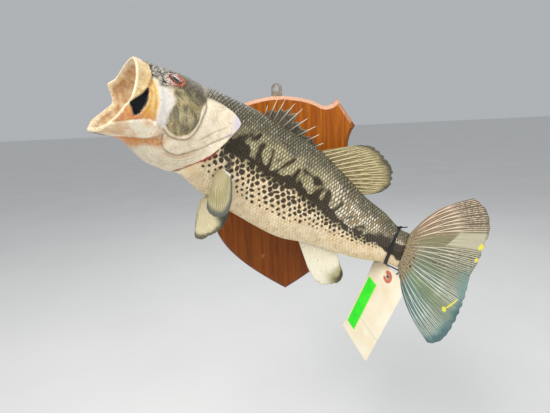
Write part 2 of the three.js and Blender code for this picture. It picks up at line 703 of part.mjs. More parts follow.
// Stands a flat outline in the card's plane, its back a given height off the card's middle.
function onCard(shape, thick, height, swing = 0) {
  const how = { depth: thick, bevelEnabled: false, curveSegments: 8 };
  const geometry = new THREE.ExtrudeGeometry(shape, how);
  const right = cardAcross.clone();
  const up = cardDown.clone().negate();
  const basis = new THREE.Matrix4().makeBasis(right, up, new THREE.Vector3().crossVectors(right, up));
  const outward = new THREE.Vector3().crossVectors(right, up).dot(cardFace) > 0 ? 1 : -1;
  geometry.rotateZ(swing);
  geometry.translate(0, 0, outward > 0 ? height : -height - thick);
  geometry.applyMatrix4(basis);
  geometry.translate(...EYELET.toArray());
  return faceOut(mergeVertices(stripped(geometry), 1e-4));
}

function stripped(geometry) {
  geometry.deleteAttribute('normal');
  geometry.deleteAttribute('uv');
  return geometry;
}

function ringShape(outer, inner) {
  const shape = new THREE.Shape();
  shape.absarc(0, 0, outer, 0, Math.PI * 2, false);
  const hole = new THREE.Path();
  hole.absarc(0, 0, inner, 0, Math.PI * 2, true);
  shape.holes.push(hole);
  return shape;
}

const REAR_SWING = 0.07;               // radians the rear card is turned about its eyelet
const EYELET_OUTER = 9;
const frontCard = cardShape(-CARD_WIDTH / 2, CARD_WIDTH / 2, CARD_LENGTH, EYELET_INSET, CORNER_CUT);
add('tag_card', onCard(frontCard, CARD_THICK, -CARD_THICK / 2), FINISH.card);
const patch = ringShape(EYELET_OUTER, EYELET_HOLE + 0.4);
add('tag_patch', onCard(patch, 0.5, CARD_THICK / 2 + 0.1), FINISH.ring);
const label = new THREE.Shape();
label.moveTo(-33, -25);
label.lineTo(-11, -25);
label.lineTo(-11, -117);
label.lineTo(-33, -117);
label.closePath();
add('tag_sticker', onCard(label, 0.5, CARD_THICK / 2 + 0.1), FINISH.sticker);
const rearCard = cardShape(...REAR_EDGES, REAR_LENGTH, REAR_INSET, 3);
add('tag_card_rear', onCard(rearCard, CARD_THICK, -4, REAR_SWING), FINISH.card);

const stalkFoot = bodyPoint(TIE_AT - TIE_LEAN, 172, TIE_REST + TIE_THICK / 2);
function offEyelet(height, raise) {
  return EYELET.clone().addScaledVector(cardFace, height).addScaledVector(cardDown, -raise);
}

const loopPoints = [stalkFoot, offEyelet(-14, 11), offEyelet(-9, 2), offEyelet(-4, 0), offEyelet(2.4, 0)];
const loopLine = strand(loopPoints.map((p) => p.toArray()), 1, 12);
const knotPoint = bodyPoint(TIE_AT, 6, 2.6);
const knot = new THREE.SphereGeometry(3.2, 8, 6).translate(...knotPoint.toArray());
const endPoint = knotPoint.clone().add(new THREE.Vector3(9, -3, 1));
const tieMiddle = knotPoint.clone().lerp(endPoint, 0.5);
const tieEnd = strand([knotPoint, tieMiddle, endPoint].map((p) => p.toArray()), 1.1, 3);
add('tail_tie', joined(tieBand(), cutBy(joined(knot, tieEnd), bodyCore), loopLine), FINISH.tie);

export default bass;
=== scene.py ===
# %% [markdown]
# # A mounted largemouth bass
# A taxidermist stretches the real skin of a fish over a carved foam form, sets glass eyes, dries and
# repaints it, and screws it to a board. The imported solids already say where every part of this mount
# is. This lesson gives each part its real surface: one skin from lips to tail, its scales, its rayed
# fins, and the finishes of board, hanger, tie and tag. Distances are in millimetres in the tables, as
# on a bench drawing, and become metres only when a mesh is made.

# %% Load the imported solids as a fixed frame
import bmesh
import bpy
import numpy as np
from mathutils import Matrix, Vector
from mathutils.geometry import tessellate_polygon


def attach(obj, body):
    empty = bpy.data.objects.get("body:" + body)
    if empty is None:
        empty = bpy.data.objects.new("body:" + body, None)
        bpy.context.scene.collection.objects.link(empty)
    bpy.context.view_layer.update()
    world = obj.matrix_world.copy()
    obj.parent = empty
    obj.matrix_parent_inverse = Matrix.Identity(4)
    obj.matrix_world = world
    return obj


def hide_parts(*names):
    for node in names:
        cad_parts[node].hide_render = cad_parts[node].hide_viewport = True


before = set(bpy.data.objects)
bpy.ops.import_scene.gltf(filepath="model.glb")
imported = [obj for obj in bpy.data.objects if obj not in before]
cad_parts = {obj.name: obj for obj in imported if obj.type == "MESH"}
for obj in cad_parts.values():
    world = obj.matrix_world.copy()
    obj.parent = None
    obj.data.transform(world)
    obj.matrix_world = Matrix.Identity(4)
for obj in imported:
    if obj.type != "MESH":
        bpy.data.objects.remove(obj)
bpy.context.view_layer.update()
MM = 0.001
print("solids in the frame:", len(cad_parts))

# %% [markdown]
# ## Camera, floor and light
# A mount is looked at from the front and a little above its middle. The floor and three soft lamps
# are stage pieces only: a broad key lamp high on the left, a weaker one on the right and one behind,
# in a pale surround that fills the shadows. Large lamps give the long soft highlights that varnish shows.

# %% Stand the camera
VIEW_FROM = Vector((17.91, -651.0, 137.17)) * MM
VIEW_RIGHT = Vector((0.99831, 0.03316, -0.04774))
VIEW_UP = Vector((0.03871, 0.23332, 0.97163))
VIEW_AHEAD = Vector((-0.04335, 0.97184, -0.23164))
camera = bpy.data.objects.new("camera", bpy.data.cameras.new("camera"))
camera.data.lens = 27.03
camera.data.sensor_width = 36.0
camera.data.clip_start = 0.01
turned = Matrix((VIEW_RIGHT, VIEW_UP, -VIEW_AHEAD)).transposed()
camera.matrix_world = Matrix.Translation(VIEW_FROM) @ turned.to_4x4()
bpy.context.scene.collection.objects.link(camera)
bpy.context.scene.camera = camera
bpy.context.scene.view_settings.view_transform = "Standard"
print("camera stands", round(VIEW_FROM.length, 3), "m from the middle of the board")

# %% Hang the lamps
def soft_lamp(name, place, target, size, watts, colour):
    """A square area lamp that looks from its place at a target."""
    lamp = bpy.data.lights.new(name, "AREA")
    lamp.shape = "SQUARE"
    lamp.size = size
    lamp.energy = watts
    lamp.color = colour
    holder = bpy.data.objects.new(name, lamp)
    holder.location = place
    holder.rotation_euler = (Vector(target) - Vector(place)).to_track_quat("-Z", "Y").to_euler()
    bpy.context.scene.collection.objects.link(holder)
    return holder

BOARD_MIDDLE = (0.0, -0.06, 0.02)
soft_lamp("key lamp", (-0.7, -1.2, 1.5), BOARD_MIDDLE, 1.0, 36.0, (1.0, 0.98, 0.95))
soft_lamp("fill lamp", (1.4, -1.3, 0.5), BOARD_MIDDLE, 1.4, 12.0, (0.96, 0.97, 1.0))
soft_lamp("back lamp", (0.3, 1.5, 1.3), BOARD_MIDDLE, 1.2, 9.0, (1.0, 1.0, 1.0))

# %% [markdown]
# ## Writing finishes as arithmetic
# Every finish here is a network of shader nodes. Linking nodes by hand hides the idea, so a small
# class wraps a node's socket and lets it be added, multiplied and compared like a number. Each
# operator adds the Math node that does the work. Colours are mixed with Mix nodes, because a Math node
# would turn them grey.

# %% A socket that can be used in sums
class Wire:
    """The output of a node, ready for ordinary arithmetic."""

    def __init__(self, finish, socket):
        self.finish = finish
        self.socket = socket

    def __add__(self, other):
        return self.finish.sum("ADD", self, other)

    def __radd__(self, other):
        return self.finish.sum("ADD", other, self)

    def __sub__(self, other):
        return self.finish.sum("SUBTRACT", self, other)

    def __rsub__(self, other):
        return self.finish.sum("SUBTRACT", other, self)

    def __mul__(self, other):
        return self.finish.sum("MULTIPLY", self, other)

    def __rmul__(self, other):
        return self.finish.sum("MULTIPLY", other, self)

    def __truediv__(self, other):
        return self.finish.sum("DIVIDE", self, other)

    def __pow__(self, other):
        return self.finish.sum("POWER", self, other)

    def larger(self, other):
        return self.finish.sum("MAXIMUM", self, other)

    def off_whole(self):
        """How far a value is from the nearest whole number."""
        return self - self.finish.sum("ROUND", self, 0.0)

    def rise(self, low, high, start=0.0, end=1.0):
        """Goes smoothly from start to end as the value goes from low to high."""
        settings = {"interpolation_type": "SMOOTHSTEP"}
        sockets = {"Value": self, "From Min": low, "From Max": high, "To Min": start, "To Max": end}
        return self.finish.node("ShaderNodeMapRange", settings, sockets)

    def mix(self, under, over):
        """One colour laid over another by this amount."""
        settings = {"data_type": "RGBA", "blend_type": "MIX", "clamp_factor": True}
        return self.finish.node("ShaderNodeMix", settings, {0: self, 6: under, 7: over}, out=2)


# %% A finish: a material and the ways of adding nodes to it
class Finish:
    """A node material with one Principled shader, and short words for the nodes that feed it."""

    def __init__(self, name):
        self.material = bpy.data.materials.new(name)
        self.material.use_nodes = True
        self.tree = self.material.node_tree
        self.shader = next(n for n in self.tree.nodes if n.type == "BSDF_PRINCIPLED")

    def node(self, kind, settings=None, sockets=None, out=0):
        """Adds a node: its settings first, then the values or links of its sockets."""
        made = self.tree.nodes.new(kind)
        for key, value in (settings or {}).items():
            if key == "stops":
                self.set_stops(made.color_ramp, value)
            else:
                setattr(made, key, value)
        for key, value in (sockets or {}).items():
            self.feed(made.inputs[key], value)
        return Wire(self, made.outputs[out])

    def set_stops(self, ramp, stops):
        while len(ramp.elements) < len(stops):
            ramp.elements.new(0.5)
        for element, (place, colour) in zip(ramp.elements, stops):
            element.position = place
            element.color = colour

    def feed(self, socket, value):
        if isinstance(value, Wire):
            self.tree.links.new(value.socket, socket)
        else:
            socket.default_value = value

    def sum(self, operation, one, two):
        return self.node("ShaderNodeMath", {"operation": operation}, {0: one, 1: two})

    def painted(self, name):
        """A value stored on the mesh under this name."""
        return self.node("ShaderNodeAttribute", {"attribute_name": name}, out=2)

    def place(self):
        return self.node("ShaderNodeTexCoord", out=3)

    def stretched(self, scale):
        """Coordinates multiplied by a scale for each direction."""
        return self.node("ShaderNodeVectorMath", {"operation": "MULTIPLY"}, {0: self.place(), 1: scale})

    def cloud(self, scale, detail=2.0, rough=0.5, vector=None):
        """Soft noise from 0 to 1, of so many lumps to the metre."""
        sockets = {"Vector": vector or self.place(), "Scale": scale, "Detail": detail, "Roughness": rough}
        return self.node("ShaderNodeTexNoise", None, sockets)

    def cells(self, scale, feature="F1"):
        """Distance to the nearest of many scattered points."""
        sockets = {"Vector": self.place(), "Scale": scale, "Randomness": 1.0}
        return self.node("ShaderNodeTexVoronoi", {"feature": feature}, sockets)

    def relief(self, height, depth, strength):
        """A bump normal from a height whose full range is depth metres."""
        return self.node("ShaderNodeBump", None, {"Height": height, "Distance": depth, "Strength": strength})

    def bent(self, operation, value):
        """A value passed through a Math node of one input, such as SINE."""
        return self.node("ShaderNodeMath", {"operation": operation}, {0: value})

    def grid_of(self, one, two):
        """Coordinates made of two values."""
        return self.node("ShaderNodeCombineXYZ", None, {0: one, 1: two})

    def wear(self, **sockets):
        """Sets the shader's own sockets, by their names with underscores."""
        for key, value in sockets.items():
            self.feed(self.shader.inputs[key.replace("_", " ")], value)
        return self.material

# %% Coats and tints
def layered(colour, *coats):
    """A ground colour with coats laid over it in order, each an amount and a colour."""
    for amount, over in coats:
        colour = amount.mix(colour, over)
    return colour


def tint(red, green, blue):
    """A colour read from a paint chart in 0 to 255, as the linear values that nodes use."""
    steps = [c / 255 for c in (red, green, blue)]
    return (*[c / 12.92 if c < 0.04045 else ((c + 0.055) / 1.055) ** 2.4 for c in steps], 1.0)

print("a mid brown is", [round(c, 3) for c in tint(120, 80, 50)])

# %% Lay the floor
floor_finish = Finish("pale floor")
floor_grain = floor_finish.cloud(3.0, 4.0)
floor_colour = floor_grain.mix(tint(226, 226, 224), tint(238, 238, 236))
floor_finish.wear(Base_Color=floor_colour, Roughness=0.9)
FLOOR_DROP = -0.62
bpy.ops.mesh.primitive_plane_add(size=30.0, location=(0.0, 0.0, FLOOR_DROP))
floor = bpy.context.object
floor.name = "floor"
floor.data.materials.append(floor_finish.material)
world = bpy.data.worlds.new("surround")
world.use_nodes = True
world.node_tree.nodes["Background"].inputs["Color"].default_value = (0.86, 0.89, 0.93, 1.0)
world.node_tree.nodes["Background"].inputs["Strength"].default_value = 0.5
bpy.context.scene.world = world

# %% [markdown]
# ## Measuring along the fish
# A fish is easiest to describe as a row of stations, like the ribs of a boat: how far along, where
# the middle is, and how far the section reaches up, down and sideways. A point on the fish is then a
# distance along it and a turn in degrees from the crown of its back, positive to its left side. All
# that follows, from the lips to the last scale, is placed with these two numbers, so colours, relief
# and scales stay in step with each other.

# %% Stations: distance, middle x y z, reach up, down and sideways, fullness of the upper half, roll
STATIONS = np.array([
    [-16, -192, -162.4, 170.9, 45, 56, 51, 1.6, 8.7],
    [0, -181.2, -153.6, 162.9, 46.5, 53, 53, 1.6, 8.7],
    [25, -164.4, -139.9, 150.5, 51, 49, 54, 1.7, 8.7],
    [43, -152.3, -130, 141.6, 55, 56, 55, 1.8, 8.7],
    [60, -140.8, -120.7, 133.1, 57.5, 62, 57, 1.9, 8.7],
    [84, -124.7, -107.5, 121.2, 59.5, 62, 57, 1.9, 8.4],
    [115, -102.5, -92, 106, 64, 60, 50, 2, 7.5],
    [157, -71.7, -77, 81, 71.5, 68, 47, 2, 5],
    [198, -39, -67.5, 58, 72, 72, 47, 2, 2],
    [238, -6, -65, 35, 72.5, 72.5, 45.5, 2, 0],
    [279, 28, -65, 13, 70, 71, 40.5, 2, 0],
    [319, 62, -66.5, -8, 59, 60, 33, 2, 0],
    [359, 94.5, -71.5, -31, 49.5, 48.5, 25, 2.1, 0],
    [400, 130, -81.5, -49.5, 41, 38, 17, 2.3, 0],
    [430, 156, -92.5, -61, 29.5, 27, 11.5, 2.4, 0],
    [446, 170, -99, -65.5, 27.5, 27.5, 8.5, 2.4, 0],
])
MOUTH = np.array([
    [-16, 41, 50, 45, 1.6], [0, 42, 48, 48, 1.6], [25, 31, 42, 44, 1.8],
    [43, 21, 40, 36, 2], [60, 12, 34, 27, 2], [84, 4, 20, 14, 2],
])
# Rear edge of the gill cover: turn from the crown, distance along the fish.
GILL_EDGE = np.array([
    [36, 96], [38, 101], [40, 112], [42.5, 124], [46, 133], [50, 139], [55, 139.5], [61, 138],
    [70, 135.5], [84, 132], [98, 127], [110, 122.5], [118, 118], [128, 108], [138, 98], [150, 92],
    [164, 90], [180, 89],
])
BODY_END = 446.0
HEAD_END = 84.0
BOARD_FACE = -19.35

# %% Smooth values between the stations
def smooth(table, column, at):
    """A cubic through one column of a table, with the slopes of its neighbours at each row."""
    rows = table[:, 0]
    values = table[:, column]
    slope = np.empty(len(rows))
    slope[1:-1] = (values[2:] - values[:-2]) / (rows[2:] - rows[:-2])
    slope[0] = (values[1] - values[0]) / (rows[1] - rows[0])
    slope[-1] = (values[-1] - values[-2]) / (rows[-1] - rows[-2])
    i = np.clip(np.searchsorted(rows, at) - 1, 0, len(rows) - 2)
    span = rows[i + 1] - rows[i]
    t = (at - rows[i]) / span
    rise = 3 * t**2 - 2 * t**3
    bend = (t**3 - 2 * t**2 + t) * span * slope[i] + (t**3 - t**2) * span * slope[i + 1]
    return values[i] + (values[i + 1] - values[i]) * rise + bend


def ease(value, low, high):
    """0 below low, 1 above high, and a soft step between."""
    t = np.clip((np.asarray(value, float) - low) / (high - low), 0, 1)
    return t * t * (3 - 2 * t)


def hump(away, wide):
    """A bell of height 1 where away is 0."""
    return np.exp(-((away / wide) ** 2))


def unit(vector):
    return vector / np.linalg.norm(vector, axis=-1, keepdims=True)

# %% Where a distance and a turn are in space
def middle(at):
    return np.stack([smooth(STATIONS, k, at) for k in (1, 2, 3)], axis=-1)


def section(at):
    """Middle of the fish at a distance, with its directions along, to the left and up the back."""
    along = unit(middle(at + 1.0) - middle(at - 1.0))
    level = unit(np.array([0.0, 0.0, 1.0]) - along * along[..., 2:3])
    side = np.cross(along, level)
    roll = np.radians(smooth(STATIONS, 8, at))[..., None]
    left = side * np.cos(roll) - level * np.sin(roll)
    up = level * np.cos(roll) + side * np.sin(roll)
    return middle(at), along, left, up


def oval(tall_up, tall_down, wide, full, turn):
    """Radius of a section towards a turn: a full upper half over an elliptic lower one."""
    angle = np.radians(turn)
    upper = np.cos(angle) > 0
    tall = np.where(upper, tall_up, tall_down)
    power = np.where(upper, full, 2.0)
    u = np.abs(np.cos(angle)) / tall
    s = np.abs(np.sin(angle)) / wide
    return (u**power + s**power) ** (-1 / power)


def body_reach(at, turn):
    return oval(*[smooth(STATIONS, k, at) for k in (4, 5, 6, 7)], turn)


def mouth_reach(at, turn):
    return oval(*[smooth(MOUTH, k, at) for k in (1, 2, 3, 4)], turn)


def place_at(at, turn, radius):
    origin, _, left, up = section(at)
    angle = np.radians(turn)
    side = (radius * np.sin(angle))[..., None]
    rise = (radius * np.cos(angle))[..., None]
    return origin + left * side + up * rise


def on_body(at, turn, grow=0.0):
    """A point on the fish, grown outwards, and flattened where the far flank bears on the board."""
    at, turn, grow = np.broadcast_arrays(*[np.asarray(v, float) for v in (at, turn, grow)])
    point = place_at(at, turn, body_reach(at, turn) + grow)
    point[..., 1] = np.minimum(point[..., 1], BOARD_FACE + np.minimum(grow, 0.0))
    return point

# %% The gill cover's edge and how far it stands off
def gill_edge(turn):
    return smooth(GILL_EDGE, 1, np.clip(np.abs(turn), 36, 180))


def flare(at, turn):
    """How far a gill cover stands off the body."""
    fade = np.clip((186 - np.abs(turn)) / 50, 0.15, 1)
    return np.maximum(0, (at - HEAD_END) / 50) * 9 * fade

girth = 2 * np.pi * np.mean(body_reach(238.0, np.arange(0, 360, 10)))
print("girth at the middle:", round(float(girth)), "mm")

# %% [markdown]
# ## Meshes from rows of points
# Nearly every surface here is a grid of points: rows along the piece and columns across it. One
# helper turns a grid into a mesh, and two more store painted values and a flat map on it.

# %% Helpers for meshes
def make_piece(name, points, faces, finish, smooth_shaded=True):
    """A new object from points in millimetres and faces by their corners."""
    mesh = bpy.data.meshes.new(name)
    mesh.from_pydata((np.asarray(points) * MM).tolist(), [], [list(f) for f in faces])
    mesh.validate()
    mesh.polygons.foreach_set("use_smooth", [smooth_shaded] * len(mesh.polygons))
    mesh.materials.append(finish)
    piece = bpy.data.objects.new(name, mesh)
    bpy.context.scene.collection.objects.link(piece)
    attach(piece, "root")
    return piece


def grid_faces(rows, columns, closed=False):
    """Four-cornered faces between the points of a grid, joined round if it is closed."""
    i, j = np.meshgrid(np.arange(rows - 1), np.arange(columns if closed else columns - 1), indexing="ij")
    k = (j + 1) % columns
    corners = [i * columns + j, i * columns + k, (i + 1) * columns + k, (i + 1) * columns + j]
    return np.stack(corners, axis=-1).reshape(-1, 4)


def tube_faces(rings, around, first=0):
    """Faces of a tube of rings, with both of its ends closed."""
    last = first + around * (rings - 1)
    ends = [list(range(first + around - 1, first - 1, -1)), list(range(last, last + around))]
    return (grid_faces(rings, around, True) + first).tolist() + ends


def sheet_faces(rows, columns):
    """Faces of a closed sheet: its upper grid, the walls round its margin and its under grid."""
    grid = grid_faces(rows, columns)
    under = rows * columns
    rim = list(range(columns)) + [r * columns + columns - 1 for r in range(1, rows)]
    rim += [(rows - 1) * columns + c for c in range(columns - 2, -1, -1)]
    rim += [r * columns for r in range(rows - 2, 0, -1)]
    walls = [[a, a + under, b + under, b] for a, b in zip(rim, rim[1:] + rim[:1])]
    return np.concatenate([grid, walls, grid[:, ::-1] + under])

# %% Painted values, flat maps and repeatable noise
def paint_on(piece, name, values):
    layer = piece.data.attributes.new(name, "FLOAT", "POINT")
    layer.data.foreach_set("value", np.asarray(values, np.float32).ravel())


def lay_map(piece, name, flat):
    """A flat map from one (u, v) for each point."""
    corners = np.empty(len(piece.data.loops), int)
    piece.data.loops.foreach_get("vertex_index", corners)
    layer = piece.data.uv_layers.new(name=name)
    layer.data.foreach_set("uv", np.asarray(flat, np.float32)[corners].ravel())


def roughly(seed, *coordinates):
    """Repeatable lumpy noise in -1 to 1 from sums of waves, for shaping by hand-like unevenness."""
    rng = np.random.default_rng(seed)
    total = np.zeros(np.broadcast(*coordinates).shape)
    for k in range(9):
        waves = rng.normal(0, 1, len(coordinates)) * (0.6 + 0.16 * k)
        total += np.sin(sum(w * c for w, c in zip(waves, coordinates)) + rng.uniform(0, 6.28)) / 3
    return np.clip(total, -1, 1)

# %% [markdown]
# ## Lines and patches drawn on the head
# The bones under a fish's face show as edges: the plate of the upper jaw, the gill cover's rim, the
# folds of the throat. Each is drawn here as a short line or a closed patch in distance and turn, and
# the relief and the paint both ask how far a point lies from it. Near the head one degree of turn is
# about one millimetre of skin, so these distances can be read as millimetres.

# %% Distance from a drawn line, and from a drawn patch
def rounded_line(corners, closed=False, steps=6):
    """More points along a line of corners, eased round them."""
    corners = np.asarray(corners, float)
    count = len(corners)
    line = []
    for i in range(count if closed else count - 1):
        picks = [i - 1, i, i + 1, i + 2]
        picks = [p % count for p in picks] if closed else [min(max(p, 0), count - 1) for p in picks]
        a, b, c, d = corners[picks]
        for t in np.arange(steps) / steps:
            bends = (2 * a - 5 * b + 4 * c - d) * t**2 + (3 * b - a - 3 * c + d) * t**3
            line.append(0.5 * (2 * b + (c - a) * t + bends))
    line.append(line[0] if closed else corners[-1])
    return np.array(line)


def from_line(at, turn, line):
    """Distance to a line, and which side of it: positive on the left of its run."""
    best = np.full(at.shape, 1e9)
    side = np.ones(at.shape)
    for (a0, t0), (a1, t1) in zip(line[:-1], line[1:]):
        run = np.array([a1 - a0, t1 - t0])
        length = max(run @ run, 1e-9)
        along = np.clip(((at - a0) * run[0] + (turn - t0) * run[1]) / length, 0, 1)
        away = np.hypot(at - a0 - along * run[0], turn - t0 - along * run[1])
        cross = run[0] * (turn - t0) - run[1] * (at - a0)
        nearer = away < best
        best = np.where(nearer, away, best)
        side = np.where(nearer, np.sign(cross), side)
    return best, side


def from_patch(at, turn, patch):
    """Distance to the edge of a closed patch, negative inside it."""
    away, _ = from_line(at, turn, patch)
    inside = np.zeros(at.shape, bool)
    for (a0, t0), (a1, t1) in zip(patch[:-1], patch[1:]):
        crosses = (t0 > turn) != (t1 > turn)
        level = a0 + (turn - t0) * (a1 - a0) / (t1 - t0 if t1 != t0 else 1e-9)
        inside ^= crosses & (at < level)
    return np.where(inside, -away, away)

# %% The lines and patches of the face, as distance along and turn
EYE_AT = 43.5
EYE_TURN = 34.0
JAW_PLATE_REAR = rounded_line([(9, 8), (12, 24), (14, 36), (14.5, 57), (9.5, 78), (4, 88), (-1, 95)])
CORNER_HOLE = rounded_line([
    (14, 67), (17, 77), (17.5, 91), (15.5, 104), (11, 108), (6, 102), (1, 97), (4, 89), (9.5, 79),
], True)
LOWER_JAW_TOP = rounded_line([(-12, 140), (-4, 130), (3, 122), (10, 116), (24, 105), (34, 103), (46, 106)])
CHEEK_FRONT = rounded_line([(16, 50), (21, 60), (26, 76), (30, 92), (33, 102)])
WHITE_CHEEK = rounded_line([
    (20, 52), (34, 56), (41, 72), (44, 92), (44, 106), (34, 104), (29, 88), (24, 70),
], True)
COVER_FRONT = rounded_line([
    (84, 40), (87, 53), (86.5, 64), (85.5, 76), (84, 88), (79, 101), (69, 108), (57, 110), (47, 106),
])
COVER_BAND = rounded_line([
    (50, 112), (53, 121), (62, 129), (78, 128), (90, 115), (106, 101), (122, 84), (134, 68),
])
COVER_CREASE = rounded_line([(93, 97), (110, 79), (124, 64)])
JAW_FOOT = rounded_line([
    (-13, 172), (-4, 167), (6, 163), (14, 154), (22, 144), (33, 132), (44, 119), (50, 112),
])
NOSTRILS = [(21, 21), (27, 24.5)]

# %% [markdown]
# ## Relief of the head
# The relief is a height over the plain section, in millimetres. It is a sum of simple terms: a step
# where one plate lies over another, a groove where two meet, a ring of flesh round the eye. Sculpting
# by hand would look as good, but a sum can be changed by one number and is the same on both sides.

# %% Height of the face over its plain section
def step_down(away, side, drop, fade):
    """A plate's edge: level on its own side, then down by drop, and slowly up again."""
    return np.where(side > 0, -drop * np.exp(-away / fade) * ease(away, 0, 0.9), 0.0)


def groove(away, deep, wide):
    return -deep * hump(away, wide)


def eye_distance(at, turn):
    return np.hypot(at - EYE_AT, (turn - EYE_TURN) * 0.98)


def face_relief(at, turn):
    turn = np.abs(turn)
    away, side = from_line(at, turn, JAW_PLATE_REAR)
    height = step_down(away, -side, 2.6, 7.0) * ease(turn, 14, 26)
    plate = hump(away - 6, 5) * (side > 0)
    height -= 0.9 * plate * ease(turn, 20, 40) * (1 - ease(turn, 80, 95))
    height += 0.7 * hump(away - 1.0, 1.4) * (side > 0) * ease(turn, 14, 26)
    hole = from_patch(at, turn, CORNER_HOLE)
    height = np.where(hole < 1.5, height * ease(hole, -0.5, 1.5), height) - 4.2 * (1 - ease(hole, -1.8, 0.2))
    height += 0.8 * hump(hole - 1.6, 1.2)
    away, side = from_line(at, turn, LOWER_JAW_TOP)
    height += 1.5 * ease(away * side, -0.6, 1.4) * np.exp(-away / 30) * (turn > 90) * (1 - ease(at, 40, 52))
    height += groove(away, 0.9, 1.1) * (1 - ease(at, 40, 48))
    away, side = from_line(at, turn, JAW_FOOT)
    height += step_down(away, side, 3.2, 9.0) * ease(at, 0, 10) * (1 - ease(at, 44, 52))
    away, side = from_line(at, turn, CHEEK_FRONT)
    height += groove(away, 1.1, 1.3) + hump(away - 4, 4) * (side < 0)
    away, side = from_line(at, turn, COVER_FRONT)
    height += step_down(away, -side, 1.9, 6.0)
    height += groove(np.abs(away - 5.5) + (side < 0) * 20, 0.45, 0.9)
    away, side = from_line(at, turn, COVER_BAND)
    height += groove(away, 1.0, 1.0) + step_down(away, side, 0.7, 5.0)
    ray_fold = 0.5 - 0.5 * np.cos(np.clip(away - 1, 0, 40) * 2 * np.pi / 4.4)
    folds = ease(turn, 112, 132) * ease(at, 40, 56) * (side > 0)
    height += 0.75 * (ray_fold - 0.5) * folds * ease(away, 1.5, 5)
    away, side = from_line(at, turn, COVER_CREASE)
    height += groove(away, 0.55, 0.8)
    r = eye_distance(at, turn)
    socket = 1 - ease(r, 7.4, 8.8)
    height = height * (1 - socket) - 6.5 * socket
    height += 1.7 * hump(r - 9.8, 1.4) - 0.9 * hump(r - 13.8, 1.8)
    for nostril_at, nostril_turn in NOSTRILS:
        r = np.hypot(at - nostril_at, turn - nostril_turn)
        height += 0.5 * hump(r - 1.9, 0.7) - 2.2 * (1 - ease(r, 0.7, 1.5))
    crust = ease(at, 6, 16) * (1 - ease(at, 62, 78)) * (1 - ease(turn, 44, 58))
    height += 0.30 * crust * roughly(5, at / 1.5, turn / 1.5) * ease(r, 10, 13)
    height += 0.28 * roughly(8, at / 6, turn / 7) * ease(turn, 60, 80)
    return height

test_heights = face_relief(*np.meshgrid(np.linspace(-4, 130, 200), np.linspace(0, 178, 90)))
print("relief of the face runs from", round(test_heights.min(), 1), "to", round(test_heights.max(), 1), "mm")

# %% [markdown]
# ## Pigment
# A largemouth bass is dark olive above, cream below, with a ragged dark band along its side and rows
# of dark spots under it. The same functions paint the skin and every scale on it, so no marking stops
# at a scale's edge. The band is a line with a ragged width, the blotches are short fat strokes that
# rise from it. The spots sit in staggered rows; the mesh stores only their rows, columns and size, and
# the shader draws each one, so a spot stays round however few points a scale has.

# %% The dark band, and its blotches as strokes with a width
BAND = np.array([
    [118, 66], [148, 72], [170, 76], [198, 76], [233, 73], [264, 71], [292, 74], [317, 76], [346, 78],
    [378, 80], [409, 80], [430, 88], [446, 92],
])
BAND_HALF = np.array([
    [118, 19], [148, 18], [170, 12.5], [198, 9], [233, 7.5], [264, 6.3], [317, 6.3], [346, 7], [378, 8],
    [409, 9], [430, 13], [446, 19],
])
BLOTCHES = [
    (150, 60, 166, 46, 9), (168, 52, 179, 41, 5), (192, 68, 191, 50, 5.5), (214, 66, 210, 46, 5),
    (228, 66, 241, 41, 5.5), (221, 55, 231, 41, 4), (255, 68, 256, 47, 5), (264, 42, 296, 44, 6),
    (294, 66, 299, 47, 5), (311, 66, 312, 50, 6), (330, 63, 333, 44, 4.5), (346, 70, 362, 42, 5),
    (372, 70, 380, 54, 6), (398, 70, 420, 50, 9), (156, 96, 164, 118, 9), (142, 84, 144, 100, 6),
]

# %% Pigment of the band, and the lattice of the spots
def half_girth(at):
    """Skin from crown to keel on one side, from the mean reach."""
    return np.pi * (smooth(STATIONS, 4, at) + smooth(STATIONS, 5, at) + 2 * smooth(STATIONS, 6, at)) / 4


def mm_per_degree(at):
    return half_girth(at) / 180


def dark_marks(at, turn):
    """Amount of dark pigment, 0 to 1."""
    turn = np.abs(turn)
    scale = mm_per_degree(at)
    ragged = 4.5 * roughly(11, at / 9, turn * scale / 9) + 2.5 * roughly(12, at / 4, turn * scale / 4)
    off = np.abs(turn - smooth(BAND, 1, at)) * scale
    patchy = 3.0 * roughly(14, at / 13, turn * scale / 15) * (1 - ease(at, 190, 230))
    half = smooth(BAND_HALF, 1, at)
    dark = 1 - ease(off + ragged + patchy, half - 4.0, half + 4.0)
    cloudy = ease(roughly(15, at / 7, turn * scale / 8), -0.15, 0.4)
    paler = cloudy * (1 - ease(at, 190, 270)) * ease(off, 0, 6)
    dark = dark * (1 - 0.62 * paler)
    for a0, t0, a1, t1, wide in BLOTCHES:
        near = (at > min(a0, a1) - 14) & (at < max(a0, a1) + 14)
        stroke = [(a, t * float(mm_per_degree(a))) for a, t in ((a0, t0), (a1, t1))]
        away, _ = from_line(np.where(near, at, 1e3), turn * scale, stroke)
        dark = np.maximum(dark, 0.84 * (1 - ease(away + 0.6 * ragged, wide * 0.1, wide * 1.8)))
    return dark * ease(at, 112, 126)


def spot_lattice(at, turn):
    """Column and row of the spots under the band, and the size a spot has there (0 for none)."""
    turn = np.abs(turn)
    scale = mm_per_degree(at)
    pitch = 10.4 * (scale / mm_per_degree(220.0)) ** 0.15
    down = (turn - smooth(BAND, 1, at)) * scale
    low_edge = np.interp(at, [120, 184, 233, 296, 348, 378, 410], [131, 132, 134, 132, 125, 124, 118])
    size = 1.2 - 0.38 * ease(turn, low_edge - 34, low_edge - 2)
    size = size * (1 - ease(turn, low_edge - 2, low_edge + 5)) * ease(at, 112, 126) * ease(down, -4, 2)
    size = size * (1 - ease(at, 405, 425))
    return at / pitch, down / pitch, size

